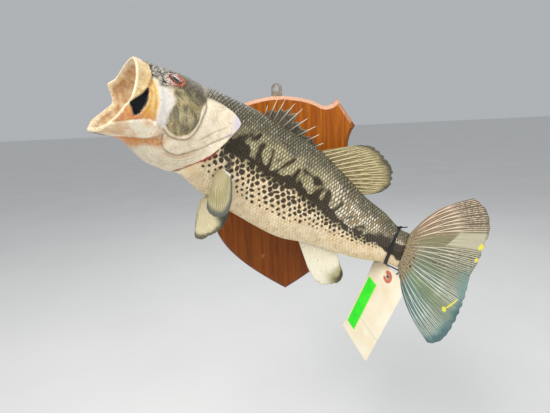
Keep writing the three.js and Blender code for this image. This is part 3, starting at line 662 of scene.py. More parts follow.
# %% Back, belly and the other grounds
def ground(at, turn):
    """Named amounts of each ground colour over the whole fish."""
    turn = np.abs(turn)
    scale = mm_per_degree(at)
    mottle = roughly(21, at / 10, turn * scale / 9)
    back_edge = np.interp(at, [60, 130, 200, 300, 345, 446], [38, 46, 36, 28, 27, 30])
    soft = np.interp(at, [300, 350], [1.0, 0.3])
    column, row, size = spot_lattice(at, turn)
    return {
        "back": 1 - ease(turn + 7 * soft * mottle, back_edge - 10 * soft, back_edge + 16 * soft),
        "belly": ease((turn - smooth(BAND, 1, at)) * scale + 5 * mottle, 4, 20),
        "rear": ease(at + 8 * mottle, 290, 345) * (1 - ease(turn, 84, 100)) * ease(turn, 14, 30),
        "stripe": hump((turn - back_edge) * scale, 2.4) * ease(at, 318, 345) * (1 - ease(at, 425, 440)),
        "dark": dark_marks(at, turn),
        "spot_column": column,
        "spot_row": row,
        "spot_size": size,
    }

sample = ground(np.array([200.0, 200.0, 200.0]), np.array([5.0, 76.0, 150.0]))
print("crown, band and belly:", {k: np.round(v, 1).tolist() for k, v in sample.items()})

# %% [markdown]
# ## One skin from the tail to the throat
# The skin of a mount is one sleeve. It runs forward from the tail, dips under the gill cover, turns
# back along the cover's underside, comes round its rear edge, and goes on over the cheek to the lips
# and into the mouth. Here it is a grid: every column is one turn round the fish, and its rows walk
# that path. At the crown, where there is no slit, the same rows are laid out straight.

# %% The lips and the flap
COAT = 0.9
COVER_THICK = 2.4
NECK_SINK = 4.4
LIP_ROUND = 2.2
COLUMNS = 264
turns = np.linspace(-180, 180, COLUMNS, endpoint=False)
# Where the body's skin starts behind the flap: turn from the crown, distance along the fish.
FLAP_BACK = np.concatenate([[[0, 134], [42, 134]], GILL_EDGE[[5, *range(7, 18)]] + [0, 8]])
# Front of the far lip, whose jaw plate has warped forward: turn, distance along the fish.
FAR_LIP = np.array([
    [-164, -11.5], [-156, -10.5], [-148, -8.5], [-140, -5.5], [-132, -2], [-124, 1.5], [-116, 5],
    [-108, 8.5], [-100, 6.5], [-92, 1.5], [-84, -5], [-78, -3.5],
])


def lip_edge(turn):
    """Front edge of the lips. The far jaw plate's tip stands forward, with a gap in the skin under it."""
    far = smooth(FAR_LIP, 1, np.clip(turn, -164, -78))
    on_far = ease(turn, -168, -158) * (1 - ease(turn, -86, -78))
    tip = -5.5 * hump(turn + 84, 9)
    turn = np.abs(turn)
    upper = -4 * np.cos(np.radians(turn)) ** 2
    lower = -2 - 13 * np.clip(1 - np.abs(turn - 180) / 81, 0, 1) ** 1.4
    near = upper + (lower - upper) * ease(turn, 97, 101) + tip
    return near + (far - near) * on_far

# %% Rows through the gill slit and out over the cover
def slit_walk(edge, behind):
    """Distances and heights from behind the gill slit, into it and out over the cover."""
    deep = np.minimum(94, edge - 5)
    walk = []
    for t in np.linspace(0.05, 1, 16):
        at = behind + (deep - behind) * t
        walk.append((at, -COAT - (NECK_SINK - COAT) * (1 - ease(at, 118, 124)), 1))
    for t in (0.35, 0.7):
        walk.append((deep - 0.6, -NECK_SINK + (flare(deep, turns) - COVER_THICK + NECK_SINK) * t, 1))
    for t in np.linspace(0, 1, 18):
        at = deep + (edge - COVER_THICK / 2 - deep) * t
        walk.append((at, flare(at, turns) - COVER_THICK, 1))
    for angle in np.radians(np.linspace(-60, 90, 6)):
        at = edge + COVER_THICK / 2 * (np.cos(angle) - 1)
        walk.append((at, flare(edge, turns) - COVER_THICK / 2 * (1 - np.sin(angle)), 2))
    for t in np.linspace(0.03, 1, 36):
        at = edge - COVER_THICK / 2 + (HEAD_END - edge + COVER_THICK / 2) * t
        walk.append((at, flare(at, turns), 2))
    return walk

# %% All rows of the skin, from the tail into the mouth
def skin_walk():
    """Rows of (distance, radius, kind): kind 0 body, 1 inside the slit, 2 head, 3 inside the mouth."""
    edge = gill_edge(turns)
    behind = np.interp(np.abs(turns), FLAP_BACK[:, 0], FLAP_BACK[:, 1])
    slit = ease(np.abs(turns), 34, 41)
    rows = []
    end = np.full(COLUMNS, BODY_END)
    for share in (0.05, 0.5, 0.9):
        rows.append((end, body_reach(end, turns) * share, 0))
    for t in np.linspace(0, 1, 158):
        at = BODY_END + (behind - BODY_END) * t
        rows.append((at, body_reach(at, turns) - COAT, 0))
    walk = slit_walk(edge, behind)
    for k, (at, off, kind) in enumerate(walk):
        plain_at = 134 + (HEAD_END - 134) * (k + 1) / len(walk)
        plain_off = -COAT * ease(plain_at, HEAD_END, 92)
        at = plain_at + (at - plain_at) * slit
        off = plain_off + (off - plain_off) * slit
        outer = 1.0 if kind == 2 else 0.0
        relief = 0.0
        if k > 40:
            relief = face_relief(at, turns) * np.maximum(outer, 1 - slit) * ease(edge - at, 0.5, 4)
        rows.append((at, body_reach(at, turns) + off + relief, kind))
    lip = lip_edge(turns)
    for t in np.linspace(0, 1, 72)[1:]:
        at = HEAD_END + (lip + LIP_ROUND - HEAD_END) * t
        rows.append((at, body_reach(at, turns) + face_relief(at, turns), 2))
    at = lip + LIP_ROUND
    outer = body_reach(at, turns) + face_relief(at, turns)
    inner = mouth_reach(at, turns)
    for angle in np.radians(np.linspace(65, -90, 7)):
        radius = (outer + inner) / 2 + (outer - inner) / 2 * np.sin(angle)
        rows.append((at - LIP_ROUND * np.cos(angle), radius, 2.5))
    for t in np.linspace(0, 1, 44)[1:]:
        inside = at + (HEAD_END - at) * t
        palate = 0.9 * roughly(31, inside / 7, turns / 9) * ease(inside - at, 2, 8)
        pad = 1.3 * hump(inside - at - 4.0, 2.2)
        rows.append((inside, mouth_reach(inside, turns) - pad + palate * 0.8, 3))
    for share in (0.6, 0.1):
        rows.append((end * 0 + HEAD_END + 1, mouth_reach(end * 0 + HEAD_END, turns) * share, 3))
    return rows

# %% Points of the skin
rows = skin_walk()
skin_at = np.stack([r[0] for r in rows])
skin_radius = np.stack([r[1] for r in rows])
skin_kind = np.array([r[2] for r in rows])[:, None] + np.zeros_like(skin_at)
skin_turn = turns[None, :] + np.zeros_like(skin_at)
skin_points = place_at(skin_at, skin_turn, skin_radius)
deepest = BOARD_FACE - np.where(skin_kind == 0, COAT, 0.0)
skin_points[..., 1] = np.minimum(skin_points[..., 1], deepest)
print("skin of", len(rows), "rows and", COLUMNS, "columns")

# %% [markdown]
# ## The paint of the skin
# Where each colour goes is stored on the mesh as named amounts, worked out from the same lines and
# patches as the relief. The nodes then lay the colours over each other and break every edge with
# noise, as an airbrush and a dry brush do. The skin and its scales share one function, so they match.

# %% Amounts of each colour over the face
def face_paint(at, turn, kind):
    turn = np.abs(turn)
    mottle = roughly(41, at / 6, turn / 6)
    fine = roughly(42, at / 2.2, turn / 2.2)
    head = np.where(kind == 2, 1.0, 0.0) * (1 - ease(at, 78, 92) * (1 - ease(turn, 36, 44)))
    cover_away, cover_side = from_line(at, turn, COVER_FRONT)
    behind_cheek = ((cover_side < 0) & (cover_away < 70)) | (at > 88)
    cheek = ease(at + 3 * mottle, 38, 48) * (1 - ease(at, 84, 88)) * ease(turn, 30, 46) * (1 - behind_cheek)
    cheek *= np.maximum(ease(cover_away + 1.2 * mottle, 3.6, 6.0), 1 - ease(turn, 44, 52))
    plate_away, plate_side = from_line(at, turn, JAW_PLATE_REAR)
    plate = np.where((plate_side > 0) & (turn < 100) & (at < 16), 1.0, 0.0)
    hole = 1 - ease(from_patch(at, turn, CORNER_HOLE), -0.6, 0.3)
    white = 1 - ease(from_patch(at, turn, WHITE_CHEEK) + 2.5 * mottle, -2, 5)
    _, jaw_side = from_line(at, turn, LOWER_JAW_TOP)
    below = np.where(jaw_side > 0, 1.0, 0.0) * ease(turn, 98, 102)
    foot_away, foot_side = from_line(at, turn, JAW_FOOT)
    jaw = below * np.where(foot_side < 0, 1.0, 0.0) * (1 - ease(at + 2 * mottle, 38, 50))
    throat = (1 - ease(foot_away + 3 * mottle, 7, 17)) * (foot_side > 0)
    throat = throat * ease(turn, 112, 124) * ease(at, 8, 20)
    front_away, front_side = from_line(at, turn, CHEEK_FRONT)
    membrane = np.where((plate_side < 0) | (turn > 94), 1.0, 0.0) * ease(turn, 44, 54) * (1 - jaw)
    membrane *= np.where((front_side > 0) | (at < 14), 1.0, 1 - ease(front_away, 0, 4))
    membrane *= 1 - ease(at, 30, 40)
    r = eye_distance(at, turn)
    band_away, band_side = from_line(at, turn, COVER_BAND)
    crease_away, _ = from_line(at, turn, COVER_CREASE)
    line = hump(cover_away, 1.1) * 0.9
    line = np.maximum(line, hump(band_away, 1.3) * (0.8 - 0.3 * ease(at, 70, 110)))
    line = np.maximum(line, hump(crease_away, 0.9) * 0.5)
    line = np.maximum(line, hump(front_away, 1.0) * 0.35 * (turn < 100))
    line = np.maximum(line, hump(plate_away, 0.9) * 0.3)
    line = np.maximum(line, hump(foot_away, 1.3) * 0.5 * ease(at, 4, 12) * (1 - ease(at, 46, 52)))
    crown_edge = 51 - 13 * ease(at, 82, 92)
    crown = 1 - ease(turn + (5 - 4 * ease(at, 80, 90)) * mottle, crown_edge - 6, crown_edge + 6)
    crown = crown * (1 - plate * ease(turn, 14, 24)) * ease(at, 2, 8)
    rays = np.clip(np.cos(band_away * 2 * np.pi / 4.6) - 0.45, 0, 1) * (band_side > 0)
    rays = rays * ease(turn, 108, 122) * ease(at, 18, 36) * (1 - ease(at, 92, 104))
    rays = rays * ease(band_away, 1.5, 4) * (1 - ease(band_away, 17, 25))
    line = np.maximum(line, rays * 0.62 * (0.8 + 0.2 * mottle))
    # Painted shade: a soft brown band below the cover's band line and along the cover's front edge, where the
    # folds of the gill cover lie in shade.
    fold = hump(band_away - 1.5, 4.0) * (band_side > 0) * (1 - ease(at, 88, 112)) * ease(turn, 100, 112)
    fold = np.maximum(fold, hump(cover_away, 3.4) * 0.5 * ease(turn, 70, 100))
    fringe = ease(at - gill_edge(turn) + 0.6 * fine, -3.4, -1.8)
    fringe = fringe * ease(turn, 104, 112) * (1 - ease(turn, 134, 142))
    return {
        "face": head,
        "crown": head * crown,
        "crust": head * crown * ease(at, 4, 12) * (1 - ease(at + 6 * mottle, 34, 58)),
        "cheek": head * cheek,
        "white": head * white,
        "plate": head * plate * ease(turn, 8, 20),
        "membrane": head * membrane * (1 - hole),
        "low_membrane": head * membrane * ease(turn, 92, 106),
        "jaw": head * jaw,
        "chin": head * ease(turn + 3 * mottle, 154, 164) * (1 - ease(at, 0, 14)),
        "throat": head * throat,
        "hole": head * hole,
        "line": head * np.clip(line, 0, 1) * (0.75 + 0.25 * fine),
        # painted shade along the folds of the gill cover
        "fold": head * np.clip(fold, 0, 1) * (0.7 + 0.3 * mottle),
        "flesh": head * hump(r - 9.9, 1.9) * (0.8 + 0.2 * fine),
        "eye_front": ease(EYE_AT - at - 0.25 * (turn - EYE_TURN), -2, 4),
        "lip": np.where(np.abs(kind - 2.5) < 0.1, 1.0, 0.0),
        "tip": head * ease(at, 120, 136) * (1 - ease(turn, 56, 92)),
        "slit": np.maximum(np.where(kind == 1, 1.0, 0.0) * ease(turn, 38, 42), head * fringe),
        "mouth": np.where(kind >= 2.5, 1.0, 0.0),
    }

# %% The fish's colours laid over each other
OLIVE_BACK = tint(64, 62, 44)
SILVER_FLECK = tint(158, 156, 146)
FLANK = tint(156, 146, 100)
CREAM = tint(242, 214, 168)
BELLY = tint(255, 234, 196)
REAR_SILVER = tint(220, 210, 188)
DARK_BROWN = tint(23, 13, 7)


def round_spots(finish):
    """Oval spots on two square lattices, one set half a step off the other."""
    shake = finish.cloud(105.0, 1.0, 0.4) - 0.5
    other = finish.cloud(88.0, 1.0, 0.4) - 0.5
    column = finish.painted("spot_column") + shake * 0.8
    row = finish.painted("spot_row") / 1.62 + other * 0.55
    nearest = None
    for step in (0.0, 0.5):
        across = (column + step).off_whole() / 0.37
        down = (row + step).off_whole() * 1.62 / 0.44
        reach = finish.bent("SQRT", across * across + down * down)
        nearest = reach if nearest is None else finish.sum("MINIMUM", nearest, reach)
    size = finish.painted("spot_size") * (1 + shake * 1.1)
    return (1 - (nearest - size).rise(-0.70, 0.27)) * 0.95

# %% The colours of the flanks
def body_colour(finish, more_dark=0.0):
    """Ground colours, flecks and dark pigment of the flanks."""
    soft = finish.cloud(70.0, 3.0, 0.6)
    grit = finish.cloud(620.0, 2.0, 0.7)
    fleck = finish.cloud(430.0, 1.0, 0.5).rise(0.52, 0.66)
    flank = soft.rise(0.3, 0.7).mix(FLANK, tint(184, 172, 124))
    flank = (fleck * 0.45).mix(flank, tint(104, 100, 70))
    pale = soft.rise(0.35, 0.7).mix(CREAM, BELLY)
    silver = grit.mix(REAR_SILVER, tint(176, 158, 118))
    olive = soft.rise(0.3, 0.75).mix(OLIVE_BACK, tint(92, 88, 62))
    olive = (fleck * 0.6).mix(olive, SILVER_FLECK)
    smoke = finish.cloud(230.0, 3.0, 0.6)
    marks = finish.painted("dark").larger(round_spots(finish))
    ragged = (marks + (grit - 0.5) * 0.24 + (smoke - 0.5) * 0.32 + more_dark).rise(0.18, 0.80)
    brown = grit.rise(0.4, 0.8).mix(DARK_BROWN, tint(52, 33, 19))
    colour = layered(
        flank,
        (finish.painted("belly"), pale),
        (finish.painted("rear") * 0.85, silver),
        (finish.painted("back"), olive),
        (finish.painted("stripe") * 0.9, tint(54, 47, 34)),
        (ragged * 0.95, brown),
    )
    return colour, ragged

# %% Colours of the face: the hard plates first
def plates_of_face(finish, under, soft, grit, blot):
    """Gill cover, cheek, crown and jaw plate over the body's colour."""
    cover = layered(
        soft.rise(0.3, 0.7).mix(tint(226, 210, 178), tint(238, 226, 202)),
        (grit.rise(0.55, 0.75) * 0.5, tint(176, 148, 108)),
        (finish.painted("tip") * soft.rise(0.35, 0.6) * 0.8, tint(196, 188, 208)),
    )
    gold = layered(
        soft.rise(0.35, 0.65).mix(tint(128, 116, 66), tint(170, 156, 108)),
        (streaks(finish) * 0.75, tint(52, 46, 34)),
        (grit.rise(0.5, 0.7) * 0.5, tint(204, 196, 176)),
    )
    crown = blot.rise(0.35, 0.65).mix(tint(50, 45, 33), tint(104, 94, 68))
    crown = (grit.rise(0.5, 0.68) * 0.45).mix(crown, tint(170, 164, 146))
    flake = finish.cells(260.0, "DISTANCE_TO_EDGE").rise(0.02, 0.16) * blot.rise(0.4, 0.55)
    crust = flake.mix(tint(50, 43, 36), tint(214, 206, 190))
    plate = soft.rise(0.3, 0.7).mix(tint(208, 176, 122), tint(228, 202, 152))
    plate = (grit.rise(0.54, 0.66) * 0.6).mix(plate, tint(120, 88, 54))
    return layered(
        under,
        (finish.painted("face"), cover),
        (finish.painted("cheek") * 0.95, gold),
        (finish.painted("white") * 0.95, blot.mix(tint(236, 232, 224), tint(216, 208, 196))),
        (finish.painted("crown"), crown),
        (finish.painted("crust") * 0.8, crust),
        (finish.painted("plate"), plate),
    )


def streaks(finish):
    """Dark streaks that run down the cheek and the inside of the mouth."""
    return finish.cloud(150.0, 3.0, 0.6, finish.stretched((1.0, 1.0, 0.35))).rise(0.44, 0.6)

# %% Then the soft parts, the lines between them and the mouth
def soft_parts_of_face(finish, under, soft, blot):
    """Membranes, lower jaw, throat, painted shade along the folds, and the lines where plates meet."""
    wash = finish.cloud(55.0, 3.0, 0.55)
    yellow = soft.rise(0.35, 0.65).mix(tint(226, 160, 62), tint(236, 200, 128))
    yellow = (finish.painted("low_membrane") * blot.rise(0.3, 0.6)).mix(yellow, tint(226, 140, 92))
    jaw = wash.rise(0.36, 0.66).mix(tint(244, 232, 208), tint(226, 190, 146))
    orange = blot.rise(0.35, 0.65).mix(tint(196, 116, 44), tint(222, 160, 90))
    return layered(
        under,
        (finish.painted("membrane"), yellow),
        (finish.painted("jaw"), jaw),
        (finish.painted("chin") * 0.8, tint(84, 84, 80)),
        (finish.painted("throat") * 0.85, orange),
        # painted shade along the folds of the gill cover
        (finish.painted("fold") * wash.rise(0.3, 0.6, 0.35, 0.75), tint(184, 132, 76)),
        (finish.painted("line"), tint(96, 66, 40)),
    )


def mouth_and_flesh(finish, under, soft, blot):
    """The inside of the mouth, its tooth pads, grime, the flesh round the eye, the hole and the slit."""
    inside = layered(
        soft.rise(0.3, 0.7).mix(tint(216, 182, 132), tint(240, 224, 190)),
        (blot.rise(0.55, 0.75) * 0.5, tint(214, 156, 92)),
        (streaks(finish) * 0.4, tint(186, 132, 98)),
    )
    tooth_pad = finish.cells(420.0).rise(0.18, 0.34).mix(tint(150, 108, 70), tint(240, 224, 188))
    grime = finish.cloud(90.0, 5.0, 0.72).rise(0.52, 0.66)
    speck = 1 - finish.cells(230.0).rise(0.10, 0.20)
    on_face = finish.painted("face") * (1 - finish.painted("crown"))
    pink = blot.rise(0.35, 0.6).mix(tint(206, 128, 122), tint(238, 214, 206))
    flesh = blot.rise(0.35, 0.6).mix(tint(176, 54, 40), tint(220, 120, 92))
    return layered(
        under,
        (finish.painted("mouth"), inside),
        (finish.painted("lip") * 0.8, tooth_pad),
        (grime * on_face * 0.32, tint(172, 128, 84)),
        (speck * on_face * 0.45, tint(128, 92, 58)),
        (finish.painted("flesh"), finish.painted("eye_front").mix(flesh, pink)),
        (finish.painted("hole"), tint(6, 8, 12)),
        (finish.painted("slit"), tint(164, 44, 46)),
    )

# %% Make the skin
skin_finish = Finish("painted fish skin")
face_soft = skin_finish.cloud(110.0, 4.0, 0.6)
face_grit = skin_finish.cloud(700.0, 2.0, 0.7)
face_blot = skin_finish.cloud(260.0, 3.0, 0.65)
colour, _ = body_colour(skin_finish)
colour = plates_of_face(skin_finish, colour, face_soft, face_grit, face_blot)
colour = soft_parts_of_face(skin_finish, colour, face_soft, face_blot)
colour = mouth_and_flesh(skin_finish, colour, face_soft, face_blot)
hole = skin_finish.painted("hole")
shine = face_blot.rise(0.3, 0.7, 0.34, 0.52) + skin_finish.painted("crown") * 0.12 + hole * 0.34
skin_bump = skin_finish.relief(face_grit * 0.5 + face_blot, 0.0007, 0.6)
skin_finish.wear(Base_Color=colour, Roughness=shine, Normal=skin_bump, Specular_IOR_Level=0.34)
skin_finish.wear(Coat_Weight=0.06 - hole * 0.05)

skin_faces = grid_faces(len(rows), COLUMNS, True)
skin = make_piece("skin", skin_points.reshape(-1, 3), skin_faces, skin_finish.material)
amounts = ground(skin_at, skin_turn)
amounts.update(face_paint(skin_at, skin_turn, skin_kind))
for name, amount in amounts.items():
    paint_on(skin, name, amount)
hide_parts("trunk", "tail_stalk", "neck", "head", "upper_jaw", "lower_jaw", "throat",
            "cheek_left", "cheek_right", "gill_cover_left", "gill_cover_right",
            "gill_membrane_left", "gill_membrane_right")
print("skin faces:", len(skin.data.polygons), "amounts painted:", len(amounts))

# %% [markdown]
# ## Scales
# A bass has about sixty-five scales in a row along its side and some fifty rows round it. Each is a
# thin plate rooted in the skin, with a round rear edge that lies over the next two. A bump map would
# shade like scales but leave the outline smooth, so every scale here is a small closed plate. They are
# all made at once: one outline of a plate, repeated at every place of a staggered lattice, then laid
# on the body by its distance and turn. Rows follow equal steps of girth, so scales shrink to the
# tail, where a second lattice with fewer rows takes over, as rows end one by one on the real fish.

# %% Equal steps round the girth
GIRTH_AT = np.linspace(80, BODY_END, 60)
GIRTH_TURN = np.linspace(0, 180, 91)


def girth_shares():
    """Share of the half girth reached at each turn, for each of a row of distances."""
    at = GIRTH_AT[:, None] + np.zeros_like(GIRTH_TURN)
    turn = GIRTH_TURN[None, :] + np.zeros_like(at)
    points = place_at(at, turn, body_reach(at, turn))
    steps = np.linalg.norm(np.diff(points, axis=1), axis=-1)
    total = np.concatenate([np.zeros((len(GIRTH_AT), 1)), np.cumsum(steps, axis=1)], axis=1)
    return total / total[:, -1:], total[:, -1]

SHARES, HALF_GIRTH = girth_shares()


def turn_at_share(at, share):
    """Turn in degrees where the half girth has been covered to a share; negative shares go right."""
    flat = np.clip(np.abs(share), 0, 1)
    spot = np.clip((at - GIRTH_AT[0]) / (GIRTH_AT[1] - GIRTH_AT[0]), 0, len(GIRTH_AT) - 1.001)
    low = spot.astype(int)
    turn = np.empty_like(at)
    for k in np.unique(low):
        here = low == k
        one = np.interp(flat[here], SHARES[k], GIRTH_TURN)
        two = np.interp(flat[here], SHARES[k + 1], GIRTH_TURN)
        turn[here] = one + (two - one) * (spot[here] - k)
    turn = np.where(np.abs(share) > 1, 360 - turn, turn)
    return turn * np.sign(share)

print("half girth at the shoulder:", round(float(np.interp(198, GIRTH_AT, HALF_GIRTH))), "mm")

# %% Where every scale is rooted
SCALE_ROWS = 31
TAIL_ROWS = 21
TAIL_FROM = 316
SCALE_LONG = 4.3


def scale_roots():
    """Staggered lattices, the tail's with fewer rows: distance, share of girth, length and width."""
    found = []
    for rows, start, stop in ((SCALE_ROWS, 84, TAIL_FROM), (TAIL_ROWS, TAIL_FROM, 443)):
        fine = np.linspace(start, stop, 3000)
        half = np.interp(fine, GIRTH_AT, HALF_GIRTH)
        pitch = SCALE_LONG * (half / 178 * SCALE_ROWS / rows) ** 0.55
        count = np.concatenate([[0], np.cumsum(np.diff(fine) / pitch[1:])])
        for side in (1, -1):
            for row in range(rows):
                places = np.arange(0, count[-1], 1.0) + 0.5 * (row % 2)
                at = np.interp(places, count, fine)[places < count[-1]]
                share = np.full_like(at, (row + 0.5) / rows * side)
                long = np.interp(at, fine, pitch)
                wide = np.interp(at, fine, half) / rows
                found.append(np.stack([at, share, long, wide], axis=-1))
    return np.concatenate(found)


def on_show(roots):
    """Leaves out scales under the gill covers, on the head, and where the flank bears on the board."""
    at = roots[:, 0]
    turn = turn_at_share(at, roots[:, 1])
    edge = gill_edge(turn)
    under_cover = (np.abs(turn) > 38) & (at < edge - 14)
    nape = (np.abs(turn) <= 38) & (at < 88 + 5 * np.sin(turn / 7))
    chest = (np.abs(turn) > 116) & (at < 122)
    ahead = under_cover | nape | chest
    seated = on_body(at, turn)[:, 1] > BOARD_FACE - 0.05
    return roots[~(ahead | seated)]

roots = on_show(scale_roots())
print("scales to lay:", len(roots))

# %% One scale, as rows from its root to its free edge
PLATE_ROWS = 5
PLATE_COLUMNS = 6
plate_run = np.linspace(0, 1, PLATE_ROWS)[:, None] + np.zeros(PLATE_COLUMNS)
plate_side = np.linspace(-1, 1, PLATE_COLUMNS)[None, :] + np.zeros((PLATE_ROWS, 1))
plate_round = np.sqrt(1 - 0.86 * plate_side**2)
plate_long = -0.35 + plate_run * (1.05 + 0.62 * plate_round - 0.35)
plate_half = 0.62 + 0.44 * np.sin(np.pi * np.clip(plate_run * 0.8 + 0.06, 0, 1))
plate_wide = plate_side * plate_half
plate_rise = ease(plate_run, 0, 0.9) * (1 - 0.35 * plate_side**2)

# %% Many scales at once
def lay_scales(name, chosen, finish):
    """Makes one coat piece of all the chosen scales."""
    at0, share0, long, wide = [c[:, None, None] for c in chosen.T]
    rng = np.random.default_rng(7)
    tilt = rng.normal(0, 0.07, at0.shape)
    at = at0 + (plate_long + tilt * plate_wide) * long * 1.12
    share = share0 + plate_wide * wide * 1.12 / np.interp(at0, GIRTH_AT, HALF_GIRTH)
    turn = turn_at_share(at.ravel(), share.ravel()).reshape(at.shape)
    size = (long / SCALE_LONG) ** 0.35
    proud = (0.98 + rng.normal(0, 0.10, at0.shape)) * size
    root_turn = np.abs(turn_at_share(at0.ravel(), share0.ravel())).reshape(at0.shape)
    breast = (1 - 0.55 * ease(root_turn, 120, 150)) * (1 - 0.45 * (1 - ease(root_turn, 18, 42)))
    top = -COAT - 0.35 + (0.35 + 0.68 * proud * breast) * plate_rise
    under = top - 0.30 * size - 0.05
    at = np.minimum(at, BODY_END - 0.2)
    upper = on_body(at, turn, np.minimum(top, -0.02))
    lower = on_body(at, turn, under)
    cells = PLATE_ROWS * PLATE_COLUMNS
    points = np.concatenate([upper.reshape(-1, cells, 3), lower.reshape(-1, cells, 3)], axis=1)
    one = sheet_faces(PLATE_ROWS, PLATE_COLUMNS)
    faces = (one[None] + (np.arange(len(chosen)) * cells * 2)[:, None, None]).reshape(-1, 4)
    piece = make_piece(name, points.reshape(-1, 3), faces, finish)
    return piece, at, turn, at0, share0

# %% Paint for every scale from its own place
def paint_scales(piece, at, turn, at0, share0):
    """Gives each scale its pigment, the run from root to rim, and its patch on the skin's own map."""
    def twice(values):
        one_side = np.broadcast_to(values, at.shape).reshape(len(at), -1)
        return np.concatenate([one_side] * 2, axis=1).ravel()

    root_turn = turn_at_share(at0.ravel(), share0.ravel()).reshape(at0.shape)
    amounts = ground(at, turn)
    amounts["run"] = plate_run
    amounts["beside"] = np.abs(plate_side)
    amounts["own"] = np.random.default_rng(3).uniform(0, 1, at0.shape)
    for name, amount in amounts.items():
        paint_on(piece, name, twice(amount))
    patch = 0.003
    u = 0.02 + 0.96 * (at0 - 80) / (BODY_END - 80) + patch * (plate_run - 0.5)
    v = 0.02 + 0.96 * (root_turn + 180) / 360 + patch * plate_side / 2
    lay_map(piece, "OFBake", np.stack([twice(u), twice(v)], axis=-1))

# %% The finish of the scales: the skin's colours, with a pale middle and a dark free edge
scale_finish = Finish("painted scales")
run = scale_finish.painted("run")
colour, ragged = body_colour(scale_finish, (0.5 - run) * 0.12)
beside = scale_finish.painted("beside")
own = scale_finish.painted("own")
belly = scale_finish.painted("belly")
back = scale_finish.painted("back")
rear = scale_finish.painted("rear")
rim = (run + beside * 0.25).rise(0.62, 1.05)
clean = 1 - ragged
lift = run.rise(0.25, 0.6) * (1 - rim) * (0.30 + rear * 0.35 - belly * 0.12)
colour = layered(
    colour,
    (rim * (0.66 - belly * 0.46 + rear * 0.32) * clean, tint(70, 60, 38)),
    (lift * (1 - ragged * 0.9) * (1 - back * 0.62), tint(238, 228, 202)),
    (own.rise(0.72, 0.80) * rear * 0.75 * clean, tint(146, 122, 84)),
    ((1 - own.rise(0.18, 0.26)) * (rear * 0.6 + 0.15) * clean * (1 - rim), tint(240, 230, 208)),
    (own.rise(0.6, 1.0) * 0.22 * clean, tint(96, 86, 60)),
)
shine = own.rise(0.0, 1.0, 0.30, 0.48)
ridges = scale_finish.cloud(900.0, 1.0)
scale_bump = scale_finish.relief(ridges, 0.0003, 0.5)
scale_finish.wear(Base_Color=colour, Roughness=shine, Normal=scale_bump, Coat_Weight=rear * 0.08)
scale_finish.wear(Specular_IOR_Level=0.22)

# %% Lay the scales of each side
LENGTHS = [("front", 0, 215), ("middle", 215, 300), ("rear", 300, 500)]
for side_name, hand in (("left", 1), ("right", -1)):
    for length_name, first_at, last_at in LENGTHS:
        wanted = (np.sign(roots[:, 1]) == hand) & (roots[:, 0] >= first_at) & (roots[:, 0] < last_at)
        name = "scales_" + side_name + "_" + length_name
        coat, at, turn, at0, share0 = lay_scales(name, roots[wanted], scale_finish.material)
        paint_scales(coat, at, turn, at0, share0)
        print(coat.name, "triangles:", 2 * len(coat.data.polygons))

# %% [markdown]
# ## Glass eyes
# A mount's eyes are domes of glass painted from behind: a black pupil with a dull gold ring, and a
# brown iris streaked outwards. The dome here is a polar grid, so the paint can follow its radius, and
# a clear coat over it gives the hard highlight. It sits down in its socket with the lids round it.

# %% The paint behind the glass
eye_finish = Finish("glass eye")
radius = eye_finish.painted("radius")
angle = eye_finish.painted("angle")
streak_place = eye_finish.grid_of(angle * 9.0, radius * 2.2)
streak = eye_finish.cloud(1.0, 4.0, 0.65, streak_place)
iris = streak.rise(0.36, 0.64).mix(tint(38, 24, 16), tint(120, 78, 40))
iris = radius.rise(0.78, 0.96).mix(iris, tint(20, 14, 12))
gold = radius.rise(0.565, 0.585) * (1 - radius.rise(0.605, 0.64))
iris = (gold * 0.7).mix(iris, tint(176, 132, 62))
pupil = 1 - (radius + (streak - 0.5) * 0.02).rise(0.56, 0.58)
iris = pupil.mix(iris, tint(12, 15, 24))
eye_roughness = streak.rise(0.3, 0.7, 0.05, 0.09)
eye_finish.wear(Base_Color=iris, Roughness=eye_roughness, Coat_Weight=1.0, Coat_Roughness=0.03, IOR=1.5)
EYE_DOME = 9.4
EYE_BULGE = 5.6
EYE_SINK = 3.4
DOME_RINGS = 40
DOME_SPINS = 60

# %% Make the eyes
def eye_dome(hand):
    """Points of a glass dome and its back, with the share of its radius and the angle round it."""
    at, turn = np.array([EYE_AT]), np.array([EYE_TURN * hand])
    centre = place_at(at, turn, body_reach(at, turn) - EYE_SINK)[0]
    out = unit(place_at(at, turn, 1.0)[0] - middle(at)[0])
    across = unit(np.cross(out, [0.0, 0.0, 1.0]))
    above = np.cross(across, out)
    points, radii, angles = [], [], []
    for lean in np.radians(np.linspace(1, 150, DOME_RINGS)):
        for spin in np.radians(np.arange(DOME_SPINS) * 360 / DOME_SPINS):
            flat = across * np.cos(spin) + above * np.sin(spin)
            points.append(centre + flat * EYE_DOME * np.sin(lean) + out * EYE_BULGE * np.cos(lean))
            radii.append(np.sin(min(lean, np.pi / 2)))
            angles.append(abs(spin - np.pi))
    return np.array(points), radii, angles

for side_name, hand in (("left", 1), ("right", -1)):
    points, radii, angles = eye_dome(hand)
    dome_faces = tube_faces(DOME_RINGS, DOME_SPINS)
    eye = make_piece("glass_eye_" + side_name, points, dome_faces, eye_finish.material)
    paint_on(eye, "radius", radii)
    paint_on(eye, "angle", angles)
    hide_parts("eye_" + side_name)
    print(eye.name, "made at", [round(float(v)) for v in points.mean(axis=0)])

# %% [markdown]
# ## Gills
# Behind the cover's edge the red gill comb shows where the cover stands off the body. It is a row of
# fine tapering filaments on a dark red bed, each a little longer or shorter than its neighbour.

